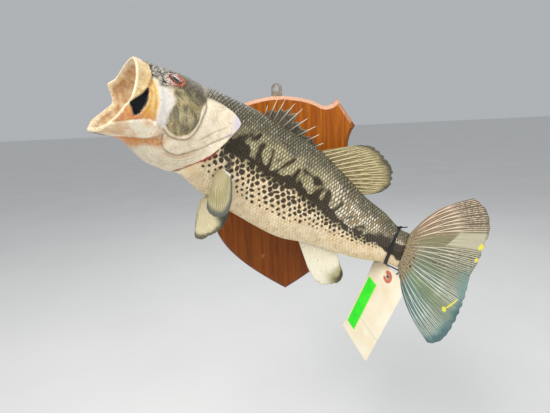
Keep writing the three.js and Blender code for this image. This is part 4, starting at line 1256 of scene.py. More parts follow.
# %% The red of the gills
gill_finish = Finish("red gill comb")
reach = gill_finish.painted("out")
own = gill_finish.painted("own")
wet = gill_finish.cloud(420.0, 3.0)
red = (own + (wet - 0.5) * 0.5).rise(0.2, 0.8).mix(tint(132, 18, 26), tint(206, 52, 56))
red = (reach.rise(0.82, 1.0) * 0.6).mix(red, tint(226, 108, 104))
red = (1 - reach.rise(0.0, 0.45)).mix(red, tint(74, 10, 16))
gill_bump = gill_finish.relief(wet, 0.0004, 0.5)
gill_shine = wet.rise(0.3, 0.7, 0.18, 0.34)
gill_finish.wear(Base_Color=red, Roughness=gill_shine, Normal=gill_bump, Coat_Weight=0.3)
FILAMENT_RINGS = 7

# %% Make the gill combs
def gill_comb(hand):
    """Filaments in two layers: points, faces, the run along each and a number of its own."""
    rng = np.random.default_rng(12)
    points, faces, runs, owns = [], [], [], []
    for layer, (low_turn, high_turn, count) in enumerate([(64, 138, 150), (92, 138, 96)]):
        for turn in np.linspace(low_turn, high_turn, count):
            edge = float(gill_edge(np.array([turn]))[0])
            show = float(ease(turn, 90, 100) * (1 - ease(turn, 133, 140)))
            long = -3.0 + show * (9.0 - 2.0 * layer) + rng.normal(0, 0.5)
            start = np.minimum(edge - 12, 114.0)
            own = rng.uniform(0, 1)
            stands = float(flare(np.array([edge]), np.array([turn]))[0]) - COVER_THICK
            first = len(points)
            for t in np.linspace(0, 1, FILAMENT_RINGS):
                at = start + (edge + long - start) * t
                height = 0.5 + layer * 1.0 + max(stands - 1.4, 0.3) * 0.8 * float(ease(t, 0.0, 0.85))
                roof = float(flare(np.array([min(at, edge)]), np.array([turn]))[0]) - COVER_THICK - 0.6
                height = min(height, roof) if at < edge - 0.3 else height
                half = 0.34 * (1 - t) ** 0.5 + 0.07
                for away, above in ((-half, 0), (0, 0.45), (half, 0), (0, -0.3)):
                    spread = away + rng.normal(0, 0.03)
                    points.append((at, (turn + spread) * hand, height + above * (1 - 0.6 * t)))
                    runs.append(t)
                    owns.append(own)
            faces += tube_faces(FILAMENT_RINGS, 4, first)
    points = np.array(points)
    return on_body(points[:, 0], points[:, 1], points[:, 2]), faces, runs, owns

for side_name, hand in (("left", 1), ("right", -1)):
    points, faces, runs, owns = gill_comb(hand)
    comb = make_piece("gill_comb_" + side_name, points, faces, gill_finish.material)
    paint_on(comb, "out", runs)
    paint_on(comb, "own", owns)
    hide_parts("gills_" + side_name)
    print(comb.name, "filaments:", len(points) // (4 * FILAMENT_RINGS))

# %% [markdown]
# ## Fins
# A soft fin is a fan of bony rays with a thin web between them. Each ray is one rod at its root, splits
# in two about a third of the way out and splits again near the margin, and it lifts the web on both
# faces. A fin is therefore a two-sided grid: rows run out along the rays and columns run across them,
# with a dozen columns to a ray, so the rays are real relief. The margin is ragged where a dried web has
# chipped back between the ray tips.

# %% The margin of a fin and the height of its rays
def curve_at(corners, share):
    """Points at equal shares of the length of a smooth curve through its corners."""
    line = rounded_line(corners, steps=24)
    run = np.concatenate([[0], np.cumsum(np.linalg.norm(np.diff(line, axis=0), axis=1))])
    return np.stack([np.interp(share * run[-1], run, line[:, k]) for k in range(2)], axis=-1)


def ray_height(across, out, rays, first, second):
    """Height of the rays, 0 to 1, with each ray split where out passes first and second."""
    cell = across * rays
    off = cell - np.floor(cell) - 0.5
    one = 0.235 * ease(out, first, first + 0.4)
    two = 0.115 * ease(out, second, second + 0.3)
    wide = 0.15 - 0.055 * ease(out, first, first + 0.2) - 0.035 * ease(out, second, second + 0.2)
    best = np.zeros(np.broadcast(across, out).shape)
    for a in (-1, 1):
        for b in (-1, 1):
            best = np.maximum(best, np.exp(-(((off - a * one - b * two) / wide) ** 2)))
    return best

# %% A fin made from its spread
def bed_fin(name, node, spread, finish, rays, rows=44, per_ray=12, split=(0.3, 0.62), lift=0.55, fray=0.035):
    """A ray fin from its spread: where it stands, its root, its tips, its bow and its half thickness."""
    place, root, tips, bow, half = spread
    columns = rays * per_ray + 1
    across = np.linspace(0, 1, columns)
    start = root[0] + (root[1] - root[0]) * across[:, None]
    ray = curve_at(tips, across) - start
    notch = 0.5 + 0.5 * np.cos(across * rays * 2 * np.pi)
    chipped = np.clip(roughly(len(name), across * rays * 1.3) + 0.2, 0, 1)
    reach = 1 - fray * (0.4 * notch + 0.9 * chipped * notch) - fray * 0.8 * chipped
    side = unit(np.stack([-ray[:, 1], ray[:, 0]], axis=-1)) * bow * (1 - 2 * across)[:, None]
    out = np.linspace(0, 1, rows)[:, None] * reach
    flat = start + ray * out[..., None] + side * np.sin(np.pi * out)[..., None]
    lines = ray_height(across[None, :], out, rays, *split)
    flute = 0.35 * np.sin(across * rays * np.pi)[None, :] * ease(out, 0.3, 1)
    wave = 0.9 * roughly(len(name) + 2, out * 2.2, across[None, :] * 3.1) * ease(out, 0.25, 1)
    near_rim = ease(np.abs(across - 0.5), 0.47, 0.5)[None, :]
    body = half(out) * (1 - 0.75 * near_rim) * (1 - 0.45 * ease(out, 0.93, 1))
    raised = lift * lines * (1 - 0.55 * out)
    thick = body - 0.22 * lift + raised
    faces = [place(flat[..., 0], flat[..., 1], sign * thick + (flute + wave) * 0.5) for sign in (1, -1)]
    points = np.concatenate([f.reshape(-1, 3) for f in faces])
    piece = make_piece(name, points, sheet_faces(rows, columns), finish)
    for label, value in (("out", out), ("across", across[None, :] + out * 0), ("ray", lines)):
        paint_on(piece, label, np.concatenate([value.ravel()] * 2))
    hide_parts(node)
    print(name, "faces:", len(piece.data.polygons))
    return piece


def web_thickness(root_half):
    return lambda out: 0.62 + (root_half - 0.8) * (1 - out) ** 2 + 0.12 * (1 - out)

# %% A finish for one fin: web, rays and margin
def fin_finish(name, web, outer_web, ray, rim, rim_from=0.84, gap=0.5, cast=None):
    """Web and rays in their colours, a dark line of painted shade beside each ray and a margin of its own
    colour.
    """
    made = Finish(name)
    out = made.painted("out")
    across = made.painted("across")
    line = made.painted("ray")
    soft = made.cloud(90.0, 3.0, 0.6)
    grit = made.cloud(800.0, 2.0, 0.7)
    hairs = made.cloud(1.0, 3.0, 0.7, made.grid_of(across * 90.0, out * 5.0))
    # Painted shade: a dark line along each flank of a ray, where the raised ray shades the web; gap sets how
    # dark it is.
    shade = line.rise(0.03, 0.2) * (1 - line.rise(0.3, 0.6))
    joints = made.bent("SINE", out * 230.0 + soft * 9.0)
    pale = (line + (grit - 0.5) * 0.3).rise(0.42, 0.7) * (0.86 - out.rise(0.55, 1.0) * 0.3)
    margin = (out + (soft - 0.5) * 0.16 + (hairs - 0.5) * 0.12).rise(rim_from, rim_from + 0.11)
    colour = layered(
        (out + (soft - 0.5) * 0.4).rise(0.15, 0.75).mix(web, outer_web),
        (hairs.rise(0.45, 0.62) * 0.45, ray),
        (shade * gap, tint(58, 52, 36)),
        (pale, ray),
        (joints.rise(0.6, 1.0) * line.rise(0.4, 0.7) * 0.3, tint(120, 104, 70)),
        (margin * 0.88, rim),
    )
    if cast:
        colour = layered(colour, *cast(made, out, across, soft, grit))
    relief = made.relief(hairs * 0.5 + grit * 0.35 + joints * line * 0.15, 0.0006, 0.6)
    gloss = grit.rise(0.2, 0.8, 0.30, 0.52)
    made.wear(Base_Color=colour, Roughness=gloss, Normal=relief, Coat_Weight=0.08)
    return made.material

# %% [markdown]
# ## Soft dorsal fin and anal fin
# These stand in the fish's own middle surface, which bends with the body, so each is laid out in x
# and z and takes its depth from the middle line at that x. The web is painted olive on the back and
# cream below, as on a living fish.

# %% The soft dorsal fin
MIDDLE_LINE = STATIONS[6:][:, [1, 2]]


def in_middle(x, z, offset):
    return np.stack([x, smooth(MIDDLE_LINE, 1, x) + offset, z + 0 * x], axis=-1)

DORSAL_ROOT = np.array([[61.0, 76.0], [107.0, 12.0]])
DORSAL_TIPS = [
    (112, 82.5), (127, 81), (140, 72.5), (151, 56.5), (155.5, 38.5), (151, 26), (141, 17.5), (129, 13.5),
]
dorsal_finish = fin_finish("olive fin web", tint(104, 90, 44), tint(122, 110, 62), tint(228, 210, 160),
                           tint(66, 64, 52), gap=0.85)
dorsal_spread = (in_middle, DORSAL_ROOT, DORSAL_TIPS, 0, web_thickness(2.0))
bed_fin("dorsal_fin_soft_rays", "dorsal_fin_soft", dorsal_spread, dorsal_finish, 13, lift=0.9, fray=0.022)

# %% The anal fin
def anal_cast(made, out, across, soft, grit):
    """Yellow-olive and black at the front of the margin, and a few specks."""
    front = (1 - across.rise(0.36, 0.62)) * (out + (soft - 0.5) * 0.2).rise(0.58, 0.80)
    tip = (1 - across.rise(0.30, 0.52)) * (out + (soft - 0.5) * 0.16).rise(0.80, 0.92)
    specks = 1 - made.cells(120.0).rise(0.07, 0.12)
    return (front * 0.8, tint(140, 132, 62)), (tip * 0.92, tint(34, 34, 28)), (specks * 0.7, tint(92, 72, 44))

ANAL_ROOT = np.array([[79.0, -68.0], [22.0, -50.0]])
ANAL_TIPS = [
    (84, -92), (88.5, -107), (86.5, -117), (80, -124), (71, -127), (60, -127), (50, -122), (42, -111),
    (36, -97),
]
anal_finish = fin_finish("cream fin web", tint(228, 214, 180), tint(236, 228, 200), tint(244, 240, 224),
                         tint(196, 186, 132), 0.93, 0.22, anal_cast)
anal_spread = (in_middle, ANAL_ROOT, ANAL_TIPS, 0, web_thickness(2.2))
bed_fin("anal_fin_rays", "anal_fin", anal_spread, anal_finish, 12, lift=0.6, fray=0.015)

# %% [markdown]
# ## Tail fin
# The tail is a fan of nineteen rays in the plane of the last bones. Painters shade it in broad
# sectors, so its colours are ramps across the fan: pinkish tan above, grey cream in the middle, teal
# below. A few chips show yellow undercoat at the margin, and the root is gritty where scales end.

# %% Colours of web and rods across the fan, and its chips and holes
WEBS = [
    (0.0, tint(150, 122, 92)), (0.19, tint(142, 120, 92)), (0.26, tint(128, 126, 88)),
    (0.35, tint(138, 132, 104)), (0.52, tint(112, 124, 98)), (0.62, tint(104, 122, 104)),
    (0.74, tint(118, 136, 100)), (0.86, tint(92, 122, 112)), (1.0, tint(74, 108, 108)),
]
RODS = [
    (0.0, tint(232, 208, 182)), (0.20, tint(230, 212, 182)), (0.27, tint(170, 164, 126)),
    (0.36, tint(222, 216, 190)), (0.54, tint(160, 168, 140)), (0.63, tint(232, 234, 220)),
    (0.75, tint(176, 190, 158)), (0.90, tint(220, 228, 216)), (1.0, tint(180, 200, 194)),
]
# Each chip and hole: share across, share out, width and height, and for a chip its lean.
CHIPS = [
    (0.295, 0.955, 0.020, 0.034, 0.0), (0.375, 0.972, 0.014, 0.024, 0.0),
    (0.69, 0.865, 0.12, 0.013, 0.93), (0.755, 0.805, 0.018, 0.032, 0.0),
]
HOLES = [(0.52, 0.17, 0.016, 0.018), (0.665, 0.16, 0.02, 0.018), (0.60, 0.13, 0.012, 0.012)]


def chips_and_holes(made, out, across):
    """Coats of yellow undercoat at the chips, which may lean, and of shadow in the holes."""
    torn = made.cloud(260.0, 3.0, 0.7) - 0.5
    coats = []
    for middle_across, middle_out, wide, tall, lean in CHIPS:
        aside = across - middle_across
        beyond = out - middle_out
        off = ((aside - beyond * lean) / wide) ** 2.0 + ((beyond + aside * lean) / tall) ** 2.0
        coats.append((1 - (off + torn * 3.2).rise(0.7, 1.0), tint(228, 220, 74)))
    for middle_across, middle_out, wide, tall in HOLES:
        off = ((across - middle_across) / wide) ** 2.0 + ((out - middle_out) / tall) ** 2.0
        coats.append(((1 - (off + torn).rise(0.6, 1.0)) * 0.95, tint(20, 20, 16)))
    return coats

# %% The paint of the tail
def tail_finish():
    """Web and rods by sector, sandy at the root, teal and slate at the lower margin."""
    made = Finish("tail fan paint")
    out = made.painted("out")
    across = made.painted("across")
    line = made.painted("ray")
    soft = made.cloud(60.0, 3.0, 0.6)
    grit = made.cloud(900.0, 2.0, 0.75)
    hairs = made.cloud(1.0, 4.0, 0.7, made.grid_of(across * 120.0, out * 7.0))
    crossed = made.grid_of(across * 46.0 + out * 16.0, out * 22.0 - across * 30.0)
    weave = made.cloud(1.0, 3.0, 0.7, crossed).rise(0.42, 0.58)
    weave = weave * across.rise(0.29, 0.35) * (1 - across.rise(0.48, 0.54)) * out.rise(0.2, 0.4)
    sector = across + (soft - 0.5) * 0.05
    web = made.node("ShaderNodeValToRGB", {"stops": WEBS}, {0: sector})
    rod = made.node("ShaderNodeValToRGB", {"stops": RODS}, {0: sector})
    top = 1 - across.rise(0.15, 0.24)
    # Painted shade: a dark line along each flank of a ray, darker in the upper sector.
    gap = line.rise(0.02, 0.15) * (1 - line.rise(0.25, 0.55))
    bare = across.rise(0.205, 0.225) * (1 - across.rise(0.305, 0.325))
    bare_low = across.rise(0.70, 0.72) * (1 - across.rise(0.81, 0.83)) * out.rise(0.3, 0.42)
    pale = (line + (grit - 0.5) * 0.5).rise(0.40, 0.75) * (1 - bare * 0.85) * (1 - bare_low * 0.75)
    peppered = made.cloud(420.0, 2.0, 0.6).rise(0.42, 0.58) * top * out.rise(0.66, 0.8)
    root = 1 - (out + (soft - 0.5) * 0.12).rise(0.10, 0.26)
    low = across.rise(0.36, 0.56) * (out + (soft - 0.5) * 0.25).rise(0.80, 0.95)
    lower = across.rise(0.55, 0.72) * (out + (soft - 0.5) * 0.2).rise(0.86, 0.97)
    edge = (out + (hairs - 0.5) * 0.10).rise(0.955, 0.99) * (1 - across.rise(0.3, 0.5))
    colour = layered(
        web,
        ((out + (soft - 0.5) * 0.5).rise(0.4, 1.0) * 0.5, tint(168, 162, 138)),
        (hairs.rise(0.5, 0.64) * 0.35, rod),
        (weave * 0.65, tint(70, 66, 48)),
        (gap * (0.4 + top * 0.5), tint(52, 42, 30)),
        (pale * 0.88, rod),
        (bare * (out + (across - 0.26) * 1.4).rise(0.60, 0.615) * 0.8, tint(196, 190, 164)),
        (peppered * 0.6, tint(92, 74, 56)),
        (root * 0.9, grit.rise(0.42, 0.6).mix(tint(84, 66, 44), tint(190, 168, 128))),
        (low * 0.62, tint(98, 148, 146)),
        (lower * 0.7, tint(46, 78, 90)),
        (edge * 0.5, tint(88, 84, 66)),
        *chips_and_holes(made, out, across),
    )
    relief = made.relief(hairs * 0.4 + grit * 0.5 + weave * 0.4, 0.0008, 0.7)
    gloss = grit.rise(0.2, 0.8, 0.34, 0.6)
    made.wear(Base_Color=colour, Roughness=gloss, Normal=relief, Coat_Weight=0.06)
    return made.material

# %% The tail fan, in the plane of the last bones
TAIL_ROOT = np.array([[0.35, 28.0], [0.35, -28.0]])
TAIL_TIPS = [
    (60, 101), (76, 92), (88, 73), (92, 45), (91, 18), (89, 0), (92, -22), (95, -48), (93, -80), (86, -108),
    (73, -121),
]
_, tail_along, tail_left, tail_up = section(np.array([BODY_END - 1.0]))
tail_origin = middle(np.array([BODY_END]))[0]


def in_tail(along, up, offset):
    run = np.asarray(along)[..., None] * tail_along[0] + np.asarray(up)[..., None] * tail_up[0]
    return tail_origin + run + np.asarray(offset)[..., None] * tail_left[0]


def tail_half(out):
    return 0.62 + 4.8 * (1 - out) ** 5 + 0.95 * (1 - out)

tail_spread = (in_tail, TAIL_ROOT, TAIL_TIPS, 9.0, tail_half)
bed_fin("tail_fin_rays", "tail_fin", tail_spread, tail_finish(), 19, rows=72, split=(0.22, 0.5), lift=0.95,
        fray=0.012)

# %% [markdown]
# ## Paired fins
# Pectoral and pelvic fins are the same kind of blade, set in the skin at a root point. The pectoral
# has a slate tip; the pelvic is cream with a slate front edge.

# %% Where a blade stands, and the casts of its paint
def blade(origin, across, down):
    """A placing function for a flat blade with its width and hang directions."""
    origin = np.asarray(origin, float)
    across = unit(np.asarray(across, float))
    down = unit(np.asarray(down, float))
    flat = unit(np.cross(across, down))

    def place(a, b, height):
        return origin + a[..., None] * across + b[..., None] * down + height[..., None] * flat
    return place


def pectoral_cast(made, out, across, soft, grit):
    """A greener middle and a bright, dry rear edge."""
    green = (out + (soft - 0.5) * 0.3).rise(0.35, 0.6) * (1 - out.rise(0.62, 0.8))
    dry = (1 - (across + (soft - 0.5) * 0.04).rise(0.015, 0.07)) * grit.rise(0.35, 0.55)
    return (green * 0.45, tint(150, 146, 90)), (dry * 0.9, tint(240, 240, 230))


def pelvic_cast(made, out, across, soft, grit):
    """Dark slate along one edge and over the tips next to it."""
    edge = 1 - (across + (soft - 0.5) * 0.12).rise(0.14, 0.32)
    edge = edge * (out + (soft - 0.5) * 0.1).rise(0.3, 0.62)
    return ((edge * 0.88, tint(54, 60, 50)),)

# %% The four paired fins
PECTORAL_ROOT = np.array([[6.0, -3.0], [-5.0, 2.0]])
PECTORAL_TIPS = [
    (17, 5), (19, 20), (18.5, 36), (14, 52), (5, 60.5), (-5, 61), (-13.5, 57), (-18, 48), (-17, 38),
]
pectoral_finish = fin_finish("pectoral fin web", tint(186, 166, 124), tint(148, 138, 96), tint(218, 206, 168),
                             tint(78, 84, 82), 0.81, 0.35, pectoral_cast)
PELVIC_ROOT = np.array([[7.0, -1.0], [-5.0, 0.0]])
PELVIC_TIPS = [(30, 20), (30, 28), (25, 39), (15, 47), (5, 52), (-5, 57), (-16, 54), (-15, 40), (-12, 22)]
pelvic_finish = fin_finish("pelvic fin web", tint(222, 206, 164), tint(212, 198, 148), tint(240, 230, 200),
                           tint(60, 61, 46), 0.84, 0.35, pelvic_cast)

near_pectoral = blade((-76, -123, 62), (0.95, -0.31, 0), (-0.04, -0.2, -0.98))
FAR_ROOT_AT = np.array([150.0])
FAR_ROOT_TURN = np.array([-122.0])
_, far_along, far_left, far_up = [v[0] for v in section(FAR_ROOT_AT)]
far_root = place_at(FAR_ROOT_AT, FAR_ROOT_TURN, body_reach(FAR_ROOT_AT, FAR_ROOT_TURN) + 1.5)[0]
far_back = unit(far_along - 0.9 * far_up + 0.25 * far_left)
far_across = unit(far_up - far_back * (far_up @ far_back))
far_pectoral = blade(far_root, far_across, far_back)
near_pelvic = blade((-104, -101, 21), (1, -0.12, 0), (0, -0.1, -1))
far_pelvic = blade((-103, -84, 19), (1, 0.1, 0), (-0.05, 0.12, -1))
pectoral = (PECTORAL_ROOT, PECTORAL_TIPS, 0, web_thickness(2.4))
pelvic = (PELVIC_ROOT, PELVIC_TIPS, 0, web_thickness(2.4))
for name, node, place, spread, finish in (
    ("pectoral_rays_left", "pectoral_fin_left", near_pectoral, pectoral, pectoral_finish),
    ("pectoral_rays_right", "pectoral_fin_right", far_pectoral, pectoral, pectoral_finish),
    ("pelvic_rays_left", "pelvic_fin_left", near_pelvic, pelvic, pelvic_finish),
    ("pelvic_rays_right", "pelvic_fin_right", far_pelvic, pelvic, pelvic_finish),
):
    bed_fin(name, node, (place, *spread), finish, 13, rows=36, lift=0.7, fray=0.015)

# %% [markdown]
# ## Spiny dorsal fin
# Nine stiff spines stand in front of the soft fin. They are smooth tapered rods, and the web between
# them has dried and torn, so it hangs high between some and is nearly gone between others.

# %% Rods for the spines
SPINES = np.array([
    [-15, 130, -11.6, 141.5], [-9.5, 126, 3.1, 150.2], [-3, 122, 13.9, 149.1], [2.8, 117, 26.8, 142.7],
    [9.5, 112, 36.9, 134.7], [18.3, 106, 43.6, 121.6], [29.7, 99, 54.2, 109.8], [42.3, 91, 58.9, 98.6],
    [53, 82, 64.5, 86.5],
])
WEB_LEFT = [0.22, 0.28, 0.50, 0.60, 0.52, 0.36, 0.24, 0.18]


def spine_rods():
    """Tapered rods along every spine: points, faces and the run out along each."""
    points, faces, runs = [], [], []
    steps, around = 14, 8
    for fx, fz, tx, tz in SPINES:
        foot = np.array([fx, fz]) - 0.25 * np.array([tx - fx, tz - fz])
        ray = np.array([tx, tz]) - foot
        wide = unit(np.array([-ray[1], ray[0]]))
        first = len(points)
        for t in np.linspace(0, 1, steps):
            size = 0.95 * (1 - t) ** 0.6 + 0.10
            for angle in np.radians(np.arange(around) * 360 / around):
                flat = foot + ray * t + wide * size * np.cos(angle)
                points.append(in_middle(flat[0], flat[1], size * np.sin(angle)))
                runs.append(t)
        faces += tube_faces(steps, around, first)
    return np.array(points), faces, runs

# %% The torn web between the spines
def torn_webs():
    """Thin sheets between neighbouring spines, with a ragged upper margin."""
    points, faces, highs = [], [], []
    for k, (one, two) in enumerate(zip(SPINES[:-1], SPINES[1:])):
        count, steps = 15, 12
        for sign in (1, -1):
            for i, u in enumerate(np.linspace(0, 1, count)):
                low = one[:2] * (1 - u) + two[:2] * u
                tall = (one[2:] - one[:2]) * (1 - u) + (two[2:] - two[:2]) * u
                sag = 4 * u * (1 - u)
                torn = float(roughly(60 + k, u * 9.0)) * 0.12 + float(roughly(80 + k, u * 31.0)) * 0.05
                reach = (0.45 + WEB_LEFT[k] * 0.6) * (1 - sag) + WEB_LEFT[k] * sag * 0.9 + torn * sag
                for t in np.linspace(-0.25, 1, steps):
                    flat = low + tall * (t if t < 0 else t * np.clip(reach, 0.1, 0.94))
                    points.append(in_middle(flat[0], flat[1], sign * (0.32 - 0.12 * max(t, 0))))
                    highs.append(max(t, 0))
        first = len(points) - 2 * count * steps
        grid = grid_faces(count, steps)
        faces += [list(f) for f in grid + first]
        faces += [list(f) for f in grid[:, ::-1] + first + count * steps]
        top = [first + i * steps + steps - 1 for i in range(count)]
        faces += [[a, a + count * steps, b + count * steps, b] for a, b in zip(top, top[1:])]
    return np.array(points), faces, highs

# %% Make the spines and their web
bone = Finish("dry spine")
run = bone.painted("out")
grain = bone.cloud(500.0, 3.0)
bone_colour = (run + (grain - 0.5) * 0.4).rise(0.2, 0.9).mix(tint(126, 112, 84), tint(232, 222, 198))
bone_bump = bone.relief(grain, 0.0004, 0.5)
bone.wear(Base_Color=bone_colour, Roughness=grain.rise(0.3, 0.7, 0.3, 0.5), Normal=bone_bump)
points, faces, runs = spine_rods()
spines = make_piece("dorsal_spines", points, faces, bone.material)
paint_on(spines, "out", runs)
torn = Finish("torn fin web")
run = torn.painted("out")
grain = torn.cloud(300.0, 4.0, 0.7)
torn_colour = grain.rise(0.35, 0.65).mix(tint(40, 37, 31), tint(92, 84, 66))
torn_colour = (run.rise(0.75, 1.0) * 0.5).mix(torn_colour, tint(168, 152, 118))
torn_bump = torn.relief(grain, 0.0006, 0.6)
torn.wear(Base_Color=torn_colour, Roughness=grain.rise(0.3, 0.7, 0.4, 0.6), Normal=torn_bump)
points, faces, highs = torn_webs()
web = make_piece("dorsal_spine_web", points, faces, torn.material)
paint_on(web, "out", highs)
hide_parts("dorsal_fin_spiny")
print("spiny dorsal:", len(spines.data.polygons) + len(web.data.polygons), "faces")

# %% [markdown]
# ## Shield plaque
# The plaque is a board sawn to a shield and run round with a moulding cutter, which leaves a small
# step and a hollow before the edge. It is made from rings of the same outline, each drawn in a little
# further, so the moulding is a profile of (inset, depth) pairs. The grain runs upright.

# %% The outline of the shield, and the same outline drawn in
def bend(points, steps=14):
    """Points along a Bezier curve of any number of controls."""
    t = np.linspace(0, 1, steps)[:, None]
    layer = [np.array(p, float) + 0 * t for p in points]
    while len(layer) > 1:
        layer = [a + (b - a) * t for a, b in zip(layer, layer[1:])]
    return layer[0]

HALF_SHIELD = np.concatenate([
    bend([(0, 155), (44, 152), (64, 139.5)]), bend([(64, 139.5), (73, 134), (82, 136.5), (90.5, 146.5)])[1:],
    bend([(90.5, 146.5), (116.5, 105.5)], 6)[1:], bend([(116.5, 105.5), (104, 90), (105.5, 68)])[1:],
    bend([(105.5, 68), (100, 25), (119, -2), (111, -36)], 20)[1:],
    bend([(111, -36), (106, -70), (84, -104), (0, -155)], 22)[1:],
])
shield = np.concatenate([HALF_SHIELD, HALF_SHIELD[-2:0:-1] * [-1, 1]])


def corner_normals(outline):
    """Across a closed outline at each corner, to the left of its run, and the run before the corner."""
    before = unit(outline - np.roll(outline, 1, axis=0))
    after = unit(np.roll(outline, -1, axis=0) - outline)
    return unit(np.stack([-(before[:, 1] + after[:, 1]), before[:, 0] + after[:, 0]], axis=-1)), before


def drawn_in(outline, distance):
    """The outline drawn in evenly, and its inward directions, for an outline that runs clockwise."""
    leftward, before = corner_normals(outline)
    inward = -leftward
    spread = np.maximum(0.5, np.abs(inward[:, 0] * before[:, 1] - inward[:, 1] * before[:, 0]))
    return outline + inward * (distance / spread)[:, None], inward

_, shield_inward = drawn_in(shield, 1.0)
if np.sum(shield_inward * shield) > 0:
    raise ValueError("the shield's outline should draw inwards")

# %% The recess for the hanger
# The hanger lies in a shallow recess that opens at the crown, so the back of the board is drawn
# from a second outline with a notch in it, down to the floor of the recess.
RECESS_HALF = 8.4
RECESS_FOOT = 137.8
RECESS_DEPTH = 2.0
crown_z = float(np.interp(RECESS_HALF, HALF_SHIELD[:8, 0], HALF_SHIELD[:8, 1]))
RECESS_CLEAR = 9.5
right_side = shield[shield[:, 0] > RECESS_CLEAR]
left_side = shield[shield[:, 0] < -RECESS_CLEAR]
recess_mouth = np.array([(RECESS_HALF, crown_z), (RECESS_HALF + 0.2, crown_z)])
other_mouth = recess_mouth[::-1] * [-1, 1]
whole = np.concatenate([recess_mouth, right_side, HALF_SHIELD[-1:], left_side, other_mouth])
notched = whole.copy()
notched[[0, -1], 1] = RECESS_FOOT

# %% Rings of points from the back of the board to its face
MOULDING = [
    (0.0, -11.2), (0.3, -12.6), (1.1, -13.3), (1.5, -13.8), (2.0, -15.4), (2.9, -16.8),
    (4.2, -17.7), (5.0, -18.0), (5.2, -18.6), (5.9, -19.0),
]
count = len(whole)


def at_depth(ring, depth):
    return np.stack([ring[:, 0], np.full(len(ring), depth), ring[:, 1]], axis=-1)

_, whole_inward = drawn_in(whole, 1.0)
board_points = [at_depth(notched, 0.0), at_depth(notched, -RECESS_DEPTH)]
board_points.append(at_depth(whole[[0, -1]], -RECESS_DEPTH))
SAWN = 0.35
board_edge = [np.full(2 * count + 2, SAWN)]
board_rise = [-whole_inward[:, 1], -whole_inward[:, 1], -whole_inward[[0, -1], 1]]
for inset, depth in MOULDING:
    ring, _ = drawn_in(whole, inset)
    board_points.append(at_depth(ring, depth))
    worn = SAWN if depth > -11.5 else 1.0 if inset < 5.1 else 0.0
    board_edge.append(np.full(count, worn))
    board_rise.append(-whole_inward[:, 1])
board_points = np.concatenate(board_points)
rings = [np.arange(count), count + np.arange(count)]
mouth_ring = rings[1].copy()
mouth_ring[[0, -1]] = [2 * count, 2 * count + 1]
rings += [mouth_ring] + [2 * count + 2 + k * count + np.arange(count) for k in range(len(MOULDING))]
board_faces = [rings[0].tolist()]
for one, two in [(rings[0], rings[1])] + list(zip(rings[2:], rings[3:])):
    board_faces += [[one[i], one[(i + 1) % count], two[(i + 1) % count], two[i]] for i in range(count)]
board_faces += [[count, 2 * count - 1, 2 * count + 1, 2 * count]]
board_faces += [[count, 2 * count, count + 1], [2 * count - 1, 2 * count - 2, 2 * count + 1]]
board_faces += [rings[-1][::-1].tolist()]
print("shield:", count, "points round, moulding of", len(MOULDING), "rings")

# %% Varnished wood, lighter at the top as painted light, its upward edges pale from wear and painted highlight, its other edges darkened as painted shade
wood = Finish("varnished plaque wood")
grain_place = wood.stretched((1.0, 0.6, 0.045))
broad = wood.cloud(26.0, 3.0, 0.55, grain_place)
wavy = wood.bent("SINE", broad * 60.0)
fine = wood.cloud(620.0, 3.0, 0.7, grain_place)
pore_place = wood.stretched((1.0, 0.6, 0.02))
pores = wood.cloud(1500.0, 1.0, 0.5, pore_place).rise(0.60, 0.68)
height = wood.node("ShaderNodeSeparateXYZ", None, {0: wood.place()}, out=2)
# Painted light and shade: the wood is lighter towards the top of the board and darker towards its foot.
painted_light_by_height = (height + (wood.cloud(9.0) - 0.5) * 0.12).rise(-0.16, 0.13)
dark_wood = painted_light_by_height.mix(tint(112, 53, 6), tint(148, 77, 18))
light_wood = painted_light_by_height.mix(tint(138, 69, 9), tint(182, 103, 28))
wood_colour = (wavy.rise(-0.8, 0.9) * 0.6 + fine.rise(0.3, 0.7) * 0.4).mix(dark_wood, light_wood)
wood_colour = (pores * 0.34).mix(wood_colour, tint(58, 28, 14))
edge = wood.painted("edge")
rise = wood.painted("rise")
# Pale bare wood on the moulding where it faces up: partly worn varnish, partly a painted highlight.
edge_wear_and_highlight = edge * (rise + (wood.cloud(60.0, 3.0) - 0.5) * 0.5).rise(0.25, 0.75)
bare = fine.rise(0.35, 0.65).mix(tint(206, 152, 120), tint(226, 184, 154))
wood_colour = edge_wear_and_highlight.mix(wood_colour, bare)
# Painted shade: the moulding is darkened where it faces sideways or down.
painted_shade_on_sides = edge * (1 - rise.rise(0.1, 0.5))
wood_colour = (painted_shade_on_sides * 0.35).mix(wood_colour, tint(66, 30, 14))
scuffs = wood.cloud(34.0, 5.0, 0.72).rise(0.66, 0.72)
wood_colour = (scuffs * 0.35).mix(wood_colour, tint(206, 156, 112))
wood_relief = wood.relief(fine * 0.5 + broad * 0.2 - pores * 0.6, 0.0005, 0.5)
gloss = (fine + edge_wear_and_highlight * 0.6).rise(0.2, 1.2, 0.22, 0.55)
wood.wear(Base_Color=wood_colour, Roughness=gloss, Normal=wood_relief, Coat_Weight=0.09 - edge_wear_and_highlight * 0.07)
wood.wear(Specular_IOR_Level=0.16)

# %% Make the board
board = make_piece("shield_board", board_points, board_faces, wood.material, smooth_shaded=False)
paint_on(board, "edge", np.concatenate(board_edge))
paint_on(board, "rise", np.concatenate(board_rise))
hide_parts("plaque")


def face_outwards(piece):
    """Turns every face's front to the outside."""
    shell = bmesh.new()
    shell.from_mesh(piece.data)
    bmesh.ops.recalc_face_normals(shell, faces=shell.faces)
    shell.to_mesh(piece.data)
    shell.free()

face_outwards(board)

# %% [markdown]
# ## Hanger
# A small stamped keyhole plate screwed behind the top of the shield. Its head goes over the nail and
# the slot keeps it there. Flat plates with holes, this one and the tags below, come from one helper
# that fills an outline and its holes with triangles and gives it thickness with soft corners.

